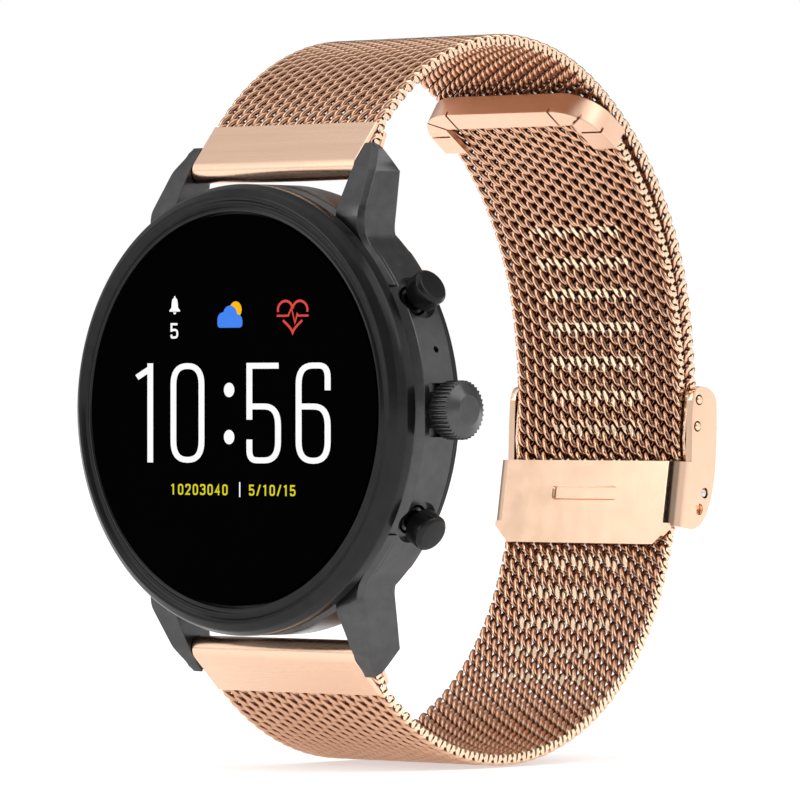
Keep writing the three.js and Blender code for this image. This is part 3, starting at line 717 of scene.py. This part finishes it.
def case_back():
    cover = lathe("back_cover", rounded([
        (12.3, -2.9), (21.4, -2.9), (21.4, -2.6), (20.6, -1.9), (17, -1.5), (14.6, -1.2),
        (13.6, -0.5), (12.3, -0.4),
    ], [0, 0.05, 0.15, 0.5, 1.5, 0.8, 0.6, 0.12], 5), 256)
    cutters = []
    for angle in SCREW_ANGLES:
        hole = [(0, -3.5), (0.5, -3.5), (0.5, -2.35), (0.85, -2.35), (0.85, 0), (0, 0)]
        cutters.append(placed(lathe("hole", hole, 32), screw_place(angle)))
    combine(cover, cutters, "DIFFERENCE")
    show(cover, "case", "black_ring", ring_black, "rear_cover")
    rim = lathe("rear_rim", rounded([
        (19.4, RIM_FRONT + 0.02), (21.93, RIM_FRONT + 0.02), (21.93, CASE_REAR - 0.1),
        (21.8, CASE_REAR + 0.02), (19.4, CASE_REAR + 0.02),
    ], [0.05, 0.05, 0.08, 0.05, 0.05]), 288)
    show(rim, "case", "black_ring", ring_black, "mid_case")
    window = lathe("back_window", rounded([
        (0, -1.8), (12, -1.8), (12, -0.5), (10.6, -0.12), (8, 0), (0, 0),
    ], [0, 0.05, 0.25, 2, 2, 0], 5), 192)
    show(window, "case", "cover_glass", rear_glass, "sensor_window")


def screws():
    for index, angle in enumerate(SCREW_ANGLES):
        profile = rounded([
            (0, -5.6), (0.38, -5.6), (0.38, -2.25), (0.72, -2.25), (0.72, -1.95), (0, -1.95),
        ], [0, 0.05, 0, 0.05, 0.12, 0])
        screw = lathe("screw", profile, 32)
        cross = [block("slot", (-0.42, 0.42), (-2.15, -1.9), (-0.09, 0.09)),
                 block("slot", (-0.09, 0.09), (-2.15, -1.9), (-0.42, 0.42))]
        combine(screw, cross, "DIFFERENCE")
        screw.name = f"back_screw_{index + 1}"
        placed(screw, screw_place(angle) @ Matrix.Rotation(radians(angle * 0.7), 4, "Y"))
        show(screw, "case", "bare_steel", bright_steel, f"cover_screw_{index + 1}")


middle_case()
front_ring()
crystal()
case_back()
screws()


# ---------------------------------------------------------------- crown and push buttons
def crown():
    """A barrel with rounded teeth and a coned face; the teeth fade out at both ends."""
    outline = rounded([
        (0, CROWN_ROOT + 1.4), (0.85, CROWN_ROOT + 1.4), (0.85, CROWN_ROOT), (2.55, CROWN_ROOT),
        (2.85, CROWN_ROOT + 0.2), (2.85, CROWN_END - 0.72), (2.6, CROWN_END - 0.62),
        (1.45, CROWN_END - 0.02), (0, CROWN_END),
    ], [0, 0, 0, 0.06, 0.06, 0.04, 0.04, 0.1, 0], 4)
    steps = CROWN_TEETH * 12
    rows = []
    for angle in np.linspace(0, 2 * np.pi, steps, endpoint=False):
        wave = 0.5 - 0.5 * math.cos(angle * CROWN_TEETH)
        groove = min(1, max(0, 1.6 * wave - 0.3))
        row = []
        for radius, place in outline:
            cut = 0.27 * groove * min(1, max(0, (radius - 2.62) / 0.12))
            row.append((place, (radius - cut) * math.cos(angle), (radius - cut) * math.sin(angle)))
        rows.append(row)
    verts = [p for row in rows for p in row]
    knob = mesh_object("crown_knob", verts, skin(steps, len(outline), closed=False), sharp=50)
    placed(knob, Matrix.Translation((0, CROWN_Y, 0)))
    show(knob, "crown_spindle", "graphite_case", graphite, "crown")


def pusher(side, angle, body):
    profile = rounded([
        (0, 17.3), (0.6, 17.3), (0.6, PUSHER_ROOT - 0.4), (1.5, PUSHER_ROOT - 0.35),
        (1.5, PUSHER_ROOT), (1.85, PUSHER_ROOT), (1.85, PUSHER_END - 0.35),
        (1.55, PUSHER_END - 0.03), (0, PUSHER_END),
    ], [0, 0.05, 0.1, 0.05, 0.05, 0.1, 0.25, 0.35, 0], 5)
    cap = lathe(f"{side}_push_button", profile, 96, axis="X")
    placed(cap, Matrix.Translation((0, CROWN_Y, 0)))
    radial(cap, angle)
    show(cap, body, "graphite_case", ring_black, f"{side}_pusher")


crown()
pusher("upper", PUSHER_ANGLE, "upper_button")
pusher("lower", -PUSHER_ANGLE, "lower_button")


# ---------------------------------------------------------------- display
# Places on the dial are (x, z) in millimetres. Strokes are wider across than up, by STRETCH.
STRETCH = 1.37
DIGIT_HEIGHT = 9.73
DIGIT_WIDTH = 4.6
DIGIT_STROKE = 0.57
TIME_BOTTOM = -5.16
LINE_BOTTOM = -8.3
LINE_HEIGHT = 1.07
INLAY_RISE = 0.006
DISPLAY_SHIFT = 1.1

# Digits as lines through a cell one wide and one high.
GLYPHS = {
    "0": [[(0, 0.5), (0, 1), (1, 1), (1, 0), (0, 0), (0, 0.5)]],
    "1": [[(0.5, 1), (0.5, 0)], [(0.02, 0.88), (0.5, 0.975)]],
    "2": [[(0, 0.72), (0, 1), (1, 1), (1, 0.6), (0, 0), (1, 0)]],
    "3": [[(0, 0.8), (0, 1), (1, 1), (1, 0.54), (0.35, 0.54)],
          [(0.35, 0.54), (1, 0.54), (1, 0), (0, 0), (0, 0.2)]],
    "4": [[(0.75, 0), (0.75, 1), (0, 0.28), (1.05, 0.28)]],
    "5": [[(1.02, 1), (0, 1), (0, 0.43)], [(0, 0.43), (0, 0.57), (1, 0.57), (1, 0), (0, 0), (0, 0.22)]],
    "6": [[(1, 0.74), (1, 1), (0, 1), (0, 0), (1, 0), (1, 0.57), (0, 0.57)]],
    "/": [[(0.1, 0), (0.9, 1)]],
}
# Which bends of a digit's first line are left square.
SQUARE_CORNERS = {"4": (1, 2), "5": (1,), "2": (4,)}


def ribbon(points, width, stretch):
    """Left and right edges of a line of even width, which is wider across by stretch."""
    line = np.array(points, float)
    line[:, 0] /= stretch
    steps = np.diff(line, axis=0)
    steps /= np.linalg.norm(steps, axis=1)[:, None]
    before = np.vstack([steps[:1], steps])
    after = np.vstack([steps, steps[-1:]])
    if np.allclose(line[0], line[-1]):
        before[0], after[-1] = steps[-1], steps[0]
    along = before + after
    along /= np.linalg.norm(along, axis=1)[:, None]
    normal = np.stack([-along[:, 1], along[:, 0]], axis=1)
    lean = np.clip(np.sum(along * after, axis=1), 0.5, 1)[:, None]
    shift = normal * width / 2 / lean
    edges = np.stack([line + shift, line - shift])
    edges[:, :, 0] *= stretch
    return edges


def band_of(edges, low, high):
    """Vertices and faces of a ribbon with thickness."""
    left, right = edges
    count = len(left)
    verts = [(x, y, z) for y in (low, high) for x, z in np.concatenate([left, right])]
    faces = []
    for a, b in zip(range(count - 1), range(1, count)):
        low_left, low_right = (a, b), (a + count, b + count)
        high_left, high_right = (a + 2 * count, b + 2 * count), (a + 3 * count, b + 3 * count)
        for one, other in ((low_left, low_right), (high_left, high_right), (low_left, high_left),
                           (low_right, high_right)):
            faces.append((one[0], one[1], other[1], other[0]))
    faces.append((0, count, 3 * count, 2 * count))
    faces.append((count - 1, 2 * count - 1, 4 * count - 1, 3 * count - 1))
    return verts, faces


def inlay(name, material, shapes, level=0):
    """Raised shapes on the glass; each is ("line", points, width, stretch) or ("area", outline)."""
    low = GLASS_FRONT + 0.01
    high = GLASS_FRONT - INLAY_RISE * (1 + level)
    verts, faces = [], []
    for kind, points, *rest in shapes:
        points = [(x + DISPLAY_SHIFT, z) for x, z in points]
        if kind == "line":
            part = band_of(ribbon(points, *rest), low, high)
        else:
            part = extrusion(points, low, high)
        faces += [tuple(index + len(verts) for index in face) for face in part[1]]
        verts += part[0]
    obj = mesh_object(name, verts, faces, smooth=False)
    show(obj, "case", "cover_glass", material)


def glyph(character, left, bottom, width, height, stroke, stretch):
    """The lines of one character, whose box is given by its outer edges."""
    inset_x, inset_z = stroke * stretch / 2, stroke / 2
    lines = []
    for line in GLYPHS[character]:
        places = []
        for index, (a, b) in enumerate(line):
            ends = index in (0, len(line) - 1)
            flush = ends and b in (0, 1) and 0 < a < 1
            z = bottom + (height * b if flush else inset_z + (height - stroke) * b)
            places.append((left + inset_x + (width - 2 * inset_x) * a, z))
        square = SQUARE_CORNERS.get(character, ())
        bend = [0 if i in square else 0.42 * width for i in range(len(places))]
        lines.append(("line", rounded(places, bend, 8, closed=False), stroke, stretch))
    return lines


def circle(x, z, radius, steps=40):
    return ("area", arc((x, z), radius, 0, 360 * (1 - 1 / steps), steps - 1))


def display():
    white = lit("lit_white", (1, 1, 1))
    yellow = lit("lit_yellow", (0.72, 0.66, 0.02))
    red = lit("lit_red", (0.75, 0.07, 0.06))
    blue = lit("lit_blue", (0.06, 0.24, 0.9))
    amber = lit("lit_amber", (1.0, 0.5, 0.01))
    time = [circle(-1.48, z, 0.7) for z in (1.95, -2.63)]
    for character, left in (("1", -14.5), ("0", -9.42), ("5", 0.85), ("6", 7.4)):
        time += glyph(character, left, TIME_BOTTOM, DIGIT_WIDTH, DIGIT_HEIGHT, DIGIT_STROKE, STRETCH)
    inlay("time_digits", white, time)

    line = []
    for text, left, step in (("10203040", -9.4, 1.0), ("5/10/15", 1.2, 0.91)):
        for index, character in enumerate(text):
            line += glyph(character, left + step * index, LINE_BOTTOM, 0.72, LINE_HEIGHT, 0.17, 1.1)
    inlay("count_digits", yellow, line)
    inlay("divider", white, [("line", [(-0.05, -8.45), (-0.05, -7.0)], 0.14, 1.1)])

    bell_x, bell_z = -8.85, 10.3
    bell = [(0.08, 0.84), (0.08, 0.72), (0.34, 0.5), (0.42, 0.1), (0.45, -0.3), (0.72, -0.55),
            (0.72, -0.68)]
    outline = [(bell_x + x, bell_z + z) for x, z in bell]
    outline += [(bell_x - x, bell_z + z) for x, z in reversed(bell)]
    clapper = ("area", arc((bell_x, 9.55), 0.2, 180, 360, 10))
    digit = glyph("5", -9.42, 6.98, 1.05, 1.52, 0.22, 1.15)
    inlay("bell_icon", white, [("area", outline), clapper] + digit)

    inlay("sun_icon", amber, [circle(-0.6, 9.75, 0.8)])
    cloud = [circle(-2.3, 8.75, 0.75), circle(-1.35, 9.2, 0.95), circle(-0.35, 8.65, 0.65)]
    base = rounded([(-3.05, 8.0), (0.3, 8.0), (0.3, 8.9), (-3.05, 8.9)], 0.42, 6)
    inlay("cloud_icon", blue, cloud + [("area", base)], level=1)

    heart_icon(red)


def heart_icon(material):
    """A heart, open at both sides, with a pulse line across it."""
    centre_x, centre_z, wide, tall = 7.0, 9.25, 0.122, 0.107
    angles = np.radians(np.arange(0, 361, 4))
    x = centre_x + wide * 16 * np.sin(angles) ** 3
    z = centre_z + tall * (13 * np.cos(angles) - 5 * np.cos(2 * angles) - 2 * np.cos(3 * angles)
                           - np.cos(4 * angles))
    line = centre_z - 0.15
    keep = (z > line + 0.3) | (z < line - 0.35)
    shapes, run = [], []
    for index in range(len(angles)):
        if keep[index]:
            run.append((x[index], z[index]))
        if (not keep[index] or index == len(angles) - 1) and len(run) > 2:
            shapes.append(("line", run, 0.24, 1.1))
        if not keep[index]:
            run = []
    pulse = [(-2.1, 0), (-0.6, 0), (-0.15, 0.75), (0.3, -0.7), (0.6, 0.15), (0.75, 0), (2.1, 0)]
    shapes.append(("line", [(centre_x + a, line + b) for a, b in pulse], 0.2, 1.1))
    inlay("heart_icon", material, shapes)


display()


# ---------------------------------------------------------------- band
def band_start(sign, heading):
    along = (math.cos(radians(heading)), math.sin(radians(heading)))
    y = BAR_Y + BAND_START * along[0] - BAND_OFFSET * along[1]
    z = BAR_Z + BAND_START * along[1] + BAND_OFFSET * along[0]
    return y, z * sign


class Chain:
    """The centre line of a band half, in the side view: a chain of arcs."""

    def __init__(self, sign, heading, arcs, turn):
        y, z = band_start(sign, heading)
        angle = radians(heading) * sign
        self.turn = turn
        self.arcs = []
        self.length = 0
        for radius, degrees in arcs:
            centre = (y - turn * radius * math.sin(angle), z + turn * radius * math.cos(angle))
            start = angle - turn * math.pi / 2
            self.arcs.append((self.length, radius, centre, start))
            self.length += radius * radians(degrees)
            angle += turn * radians(degrees)
            y = centre[0] + radius * math.cos(angle - turn * math.pi / 2)
            z = centre[1] + radius * math.sin(angle - turn * math.pi / 2)
        self.end = (y, z)
        self.heading = angle

    def at(self, along, out):
        """Places (y, z) at distances along the line and out from it."""
        y = np.zeros_like(along)
        z = np.zeros_like(along)
        for index, (start, radius, centre, angle) in enumerate(self.arcs):
            later = along >= start if index else np.ones(along.shape, bool)
            turned = angle + self.turn * (along - start) / radius
            y = np.where(later, centre[0] + (radius + out) * np.cos(turned), y)
            z = np.where(later, centre[1] + (radius + out) * np.sin(turned), z)
        return y, z


def wire_coil(middle, coil, end, cuts):
    """One spiral's vertices as (across, along, out), and which of them were ground flat."""
    turns = (BAND_WIDTH + 2 * WIRE_RADIUS) / COIL_PITCH
    segments = int(turns * COIL_SEGMENTS)
    angle = np.linspace(-np.pi * turns, np.pi * turns, segments + 1)
    phase = angle + np.pi * (0.5 if coil % 2 else 1.5)
    path = np.stack([
        COIL_PITCH * angle / (2 * np.pi),
        middle + COIL_REACH * np.cos(phase),
        -COIL_DEPTH * np.sin(phase),
    ], axis=1)
    tangent = np.gradient(path, axis=0)
    tangent /= np.linalg.norm(tangent, axis=1)[:, None]
    up = np.array([0, 0, 1.0]) - tangent * tangent[:, 2:3]
    up /= np.linalg.norm(up, axis=1)[:, None]
    side = np.cross(tangent, up)
    sides = np.linspace(0, 2 * np.pi, WIRE_SIDES, endpoint=False)[None, :, None]
    outward = np.cos(sides) * up[:, None, :] + np.sin(sides) * side[:, None, :]
    ring = (path[:, None, :] + WIRE_RADIUS * outward).reshape(-1, 3)
    past = np.clip(ring[:, 1] - (end - TIP_ROUND), 0, 0.96 * TIP_ROUND) if end else 0
    half = BAND_WIDTH / 2 - TIP_ROUND + np.sqrt(TIP_ROUND ** 2 - past ** 2)
    ground = np.abs(ring[:, 0]) > half
    ring[:, 0] = np.clip(ring[:, 0], -half, half)
    ring[:, 2] = np.clip(ring[:, 2], -BAND_THICKNESS / 2, BAND_THICKNESS / 2)
    for cut in cuts:
        near = (np.abs(ring[:, 1] - cut) < CUT_HEIGHT / 2) & (np.abs(ring[:, 0]) < CUT_HALF_WIDTH)
        proud = near & (ring[:, 2] < -CUT_LEVEL)
        ring[proud, 2] = -CUT_LEVEL
        ground |= proud
    return ring, ground, segments


def wire_band(name, chain, parts, round_end=False, cuts=()):
    """Flattened spirals across the band, one after another over part of its centre line.

    The first few lie inside the folded end piece, a little further in."""
    first = COIL_REACH - TUCK_LENGTH
    room = chain.length - COIL_REACH - first
    step = room / int(room / COIL_STEP)
    start, end = (round(part * room / step) for part in parts)
    count = end - start + (parts[1] == 1)
    coils = [
        wire_coil(first + step * (start + i), start + i, round_end and chain.length, cuts)
        for i in range(count)
    ]
    segments = coils[0][2]
    size = (segments + 1) * WIRE_SIDES
    row = np.arange(segments)[:, None] * WIRE_SIDES
    near, after = np.arange(WIRE_SIDES)[None, :], (np.arange(WIRE_SIDES)[None, :] + 1) % WIRE_SIDES
    one = np.stack([
        row + near, row + after, row + WIRE_SIDES + after, row + WIRE_SIDES + near,
    ], axis=-1).reshape(-1, 4)
    faces = np.concatenate([one + size * i for i in range(count)])
    flat = np.concatenate([coil[0] for coil in coils])
    ground = np.concatenate([coil[1] for coil in coils])
    ends = [list(size * i + np.arange(WIRE_SIDES)) for i in range(count)]
    ends += [list(size * (i + 1) - 1 - np.arange(WIRE_SIDES)) for i in range(count)]
    tucked = np.clip(-flat[:, 1] / 1.2, 0, 1)
    y, z = chain.at(flat[:, 1], flat[:, 2] - TUCK_DROP * tucked * tucked * (3 - 2 * tucked))
    verts = np.stack([flat[:, 0], y, z], axis=1)
    obj = mesh_object(name, verts, faces.tolist() + ends, sharp=70, merge=False)
    # This depth drives the painted shade in the wire's colour.
    depth = obj.data.attributes.new("face_depth", "FLOAT", "POINT")
    level = np.abs(flat[:, 2]) / (BAND_THICKNESS / 2)
    # Painted shade: the outer side a little darker.
    level[flat[:, 2] > 0] *= OUTER_SHARE
    beside = np.clip((np.abs(flat[:, 0]) - BAND_WIDTH / 2 + 0.5) / 0.4, 0, 1)
    depth.data.foreach_set("value", np.maximum(level, beside))
    # Ground faces take the painted highlight in the wire's colour.
    fresh = obj.data.attributes.new("ground_flat", "FLOAT", "POINT")
    fresh.data.foreach_set("value", ground.astype(float))
    smooth = np.concatenate([~ground[faces].all(axis=1), np.zeros(len(ends), bool)])
    obj.data.polygons.foreach_set("use_smooth", smooth)
    return obj


upper_chain = Chain(1, UPPER_HEADING, UPPER_ARCS, -1)
lower_chain = Chain(-1, LOWER_HEADING, LOWER_ARCS, 1)


def end_piece(name, sign, heading, body, node):
    outer = END_PIECE_RADIUS
    inner = END_PIECE_RADIUS - END_PIECE_SHEET
    lower = BAND_OFFSET - BAND_THICKNESS / 2
    outline = [(END_PIECE_LENGTH, inner), (END_PIECE_LENGTH, outer)]
    outline += arc((0, 0), outer, 90, 270, 28)
    outline += [(2.6, -outer), (END_PIECE_LENGTH, lower - END_PIECE_SHEET), (END_PIECE_LENGTH, lower),
                (2.6, -inner)]
    outline += arc((0, 0), inner, 270, 90, 28)
    half = BAND_WIDTH / 2 - 0.05
    obj = prism(name, outline, -half, half, bevel=0.1, bevel_steps=3, sharp=30)
    turn = Matrix.Rotation(sign * radians(heading), 4, "X")
    mirror = Matrix.Diagonal((1, 1, sign, 1))
    placed(obj, Matrix.Translation((0, BAR_Y, BAR_Z * sign)) @ turn @ mirror)
    show(obj, body, "rose_sheet", sheet_rose, node)


def channel_outline(half, low, top, corner):
    outline = [(-half, low), (half, low)]
    outline += arc((half - corner, top - corner), corner, 0, 90, 24)
    return outline + arc((corner - half, top - corner), corner, 90, 180, 24)


def tip_trim():
    """A channel that closes the free end of the lower half, its flange slit at the corners."""
    half = BAND_WIDTH / 2 + 0.6
    front, rear = TRIM_FACES
    low = -TRIM_LENGTH - 1
    shell = prism("tip_channel", channel_outline(half, -TRIM_LENGTH, TRIM_TOP, TRIM_CORNER), front, rear,
                  "front", bevel=0.12, bevel_steps=3)
    inside = channel_outline(BAND_WIDTH / 2 + 0.1, low, 0.3, TRIM_CORNER - 0.7)
    gap = half - TRIM_ARM
    cutters = [
        prism("pocket", inside, front + 0.55, 1, "front"),
        block("window", (-gap, gap), (front - 0.4, 1), (low, TRIM_TOP - 2.3)),
    ]
    for side in (-1, 1):
        for x, z, angle in TRIM_SLITS:
            slit = block("slit", (0, 4), (front - 0.4, front + 0.56), (-0.13, 0.13))
            place = Matrix.Translation((x, 0, z)) @ Matrix.Rotation(-radians(angle), 4, "Y")
            cutters.append(placed(slit, Matrix.Diagonal((side, 1, 1, 1)) @ place))
    combine(shell, cutters, "DIFFERENCE")
    turn = Matrix.Rotation(lower_chain.heading - math.pi / 2, 4, "X")
    placed(shell, Matrix.Translation((0, *lower_chain.end)) @ turn)
    show(shell, "lower_half", "rose_sheet", trim_rose, "band_tip_trim")


cut_places = [lower_chain.length - CUT_FIRST - CUT_STEP * i for i in range(CUT_COUNT)]
for index, parts in enumerate(((0, 0.5), (0.5, 1))):
    upper_mesh = wire_band(f"upper_mesh_{index + 1}", upper_chain, parts)
    show(upper_mesh, "upper_half", "woven_rose_steel", wire_rose, "upper_band")
    lower_mesh = wire_band(f"lower_mesh_{index + 1}", lower_chain, parts, True, cut_places)
    show(lower_mesh, "lower_half", "woven_rose_steel", wire_rose, "lower_band")
end_piece("upper_end", 1, UPPER_HEADING, "upper_half", "upper_end_piece")
end_piece("lower_end", -1, LOWER_HEADING, "lower_half", "lower_end_piece")
tip_trim()


# ---------------------------------------------------------------- clasp
CLASP_PLACE = Matrix.Translation((0, CLASP_Y, CLASP_Z)) @ Matrix.Rotation(-radians(CLASP_TILT), 4, "X")


def cheek_outline():
    outline = [(PLATE_FACE, -4.6), (PLATE_FACE, 2.05), (-0.45, 2.2), (-1.25, 8.4)]
    outline += curve((-1.25, 8.4), (-1.2, 10), (0.2, 10.1), 10)
    outline += curve((0.2, 10.1), (2.1, 10.1), (2.5, 8.7), 10)
    outline += curve((2.5, 8.7), (3.3, 4.6), (3.35, 1.5), 10)
    outline += curve((3.35, 1.5), (3.3, -4.6), (0, -4.6), 16)
    return outline


def clasp_plan():
    half = CLASP_WIDTH / 2
    bend = 1.6
    inner = half - CHEEK_THICKNESS
    floor = PLATE_FACE + CLASP_SHEET
    outline = arc((half - bend, PLATE_FACE + bend), bend, -90, 0, 14)
    outline += [(half, 5), (inner, 5), (inner, floor), (-inner, floor), (-inner, 5), (-half, 5)]
    outline += arc((bend - half, PLATE_FACE + bend), bend, 180, 270, 14)
    return outline


def clasp_slot():
    """The cutter for the slot, which widens towards the face so that its rim is broken."""
    sections = []
    for y, spread_by in ((-1, 0.16), (-0.02, 0.16), (0.14, 0), (SLOT_DEPTH, 0)):
        x, low, high = 4.2 + spread_by, -1.9 - spread_by, spread_by - 0.7
        ring = rounded([(-x, low), (x, low), (x, high), (-x, high)], 0.25 + spread_by, 6)
        sections.append([(a, PLATE_FACE + y, b) for a, b in ring])
    return loft("slot", sections)


def clasp_body():
    half = CLASP_WIDTH / 2
    through = half + 1
    floor = PLATE_FACE + CLASP_SHEET
    body = prism("clasp_cradle", clasp_plan(), -4.55, 11, "plan")
    combine(body, [prism("cheeks", cheek_outline(), -through, through)], "INTERSECT")
    apron = [(0.7 - half, -4.3), (0.7 - half, -4.8), (2.6 - half, -6.5), (half - 2.6, -6.5),
             (half - 0.7, -4.8), (half - 0.7, -4.3)]
    tongue = prism("tongue", rounded(apron, [0, 0.3, 0.5, 0.5, 0.3, 0]), PLATE_FACE, floor, "front")
    combine(body, [tongue], "UNION")
    cutters = [clasp_slot()]
    for place, radius in ((LID_PIN, 0.55), (GUIDE_PIN, 0.6), (RIVETS[0], 0.55), (RIVETS[1], 0.55)):
        cutters.append(rod("bore", radius, -through, through, place, 32))
    combine(body, cutters, "DIFFERENCE")
    soften(body, 0.08, 2, 40)
    placed(body, CLASP_PLACE)
    show(body, "upper_half", "rose_sheet", polished_rose, "clasp_body")


def clasp_lid():
    pin_y, pin_z = LID_PIN
    outline = [(2.3, 9.4), (1.75, 9.3), (2.3, 5), (2.55, 1), (pin_y - 0.8, pin_z + 0.5),
               (pin_y - 1.4, pin_z - 0.1)]
    outline += arc(LID_PIN, 0.85, 216, 360, 20)
    outline += [(3.1, 1), (2.85, 5)]
    half = CLASP_WIDTH / 2 - CHEEK_THICKNESS - CHEEK_GAP
    lid = prism("clasp_flap", outline, -half, half, bevel=0.1, bevel_steps=3)
    combine(lid, [rod("bore", 0.5, -half - 1, half + 1, LID_PIN, 32)], "DIFFERENCE")
    placed(lid, CLASP_PLACE)
    show(lid, "lid", "rose_sheet", sheet_rose, "clasp_lid")


def end_bracket():
    ear = rounded([(0.7, 1.5), (2.1, 1.5), (1.3, 9.5), (-1, 9.5), (-0.75, 4.5), (-0.2, 2.4)], 0.25)
    bridge = [(0.8, 1.5), (2.1, 1.5), (2.1, 1.9), (0.8, 1.9)]
    bracket = prism("end_bracket", bridge, -EAR_OUTER, EAR_OUTER)
    ears = [prism("ear", ear, x, x + EAR_THICKNESS) for x in (-EAR_OUTER, EAR_OUTER - EAR_THICKNESS)]
    combine(bracket, ears, "UNION")
    bores = [rod("bore", 0.5, -14, 14, place, 32) for place in RIVETS]
    combine(bracket, bores, "DIFFERENCE")
    placed(bracket, CLASP_PLACE)
    show(bracket, "upper_half", "rose_sheet", sheet_rose, "band_end_bracket")


def clasp_pins():
    half = CLASP_WIDTH / 2
    pin = placed(rod("lid_pin", 0.4, 0.1 - half, half - 0.1, LID_PIN), CLASP_PLACE)
    show(pin, "upper_half", "bare_steel", bright_steel, "clasp_lid_pin")
    guide = placed(rod("guide_pin", 0.45, 0.4 - half, half - 0.4, GUIDE_PIN), CLASP_PLACE)
    show(guide, "upper_half", "rose_sheet", polished_rose, "clasp_guide_pin")
    inner = EAR_OUTER - EAR_THICKNESS
    profile = rounded([
        (0, inner), (0.42, inner), (0.42, half + 0.08), (0.28, half + 0.2), (0, half + 0.2),
    ], [0, 0.05, 0.1, 0.12, 0])
    for index, place in enumerate(RIVETS):
        for word, side in (("right", 1), ("left", -1)):
            rivet = lathe(f"rivet_{word}_{index + 1}", profile, 40, axis="X")
            flip = Matrix.Diagonal((side, 1, 1, 1))
            placed(rivet, CLASP_PLACE @ Matrix.Translation((0, *place)) @ flip)
            show(rivet, "upper_half", "rose_sheet", polished_rose, f"clasp_rivet_{word}_{index + 1}")


clasp_body()
clasp_lid()
end_bracket()
clasp_pins()


# ---------------------------------------------------------------- the CAD nodes that stay
KEPT = {
    "bare_steel": bright_steel, "graphite_case": graphite, "black_ring": ring_black,
    "cover_glass": dial_glass, "black_rubber": rubber, "circuit_board": circuit,
    "black_plastic": dark_plastic, "coil_copper": copper, "foil_can": foil, "rose_sheet": sheet_rose,
    "woven_rose_steel": sheet_rose,
}


def finish_kept_nodes():
    """Gives every CAD node the procedural material of its slot."""
    for part in frame["record"]["subparts"]:
        obj = frame["nodes"][part["node"]]
        for held in obj.material_slots:
            held.material = KEPT[part["material_slot"]]


finish_kept_nodes()
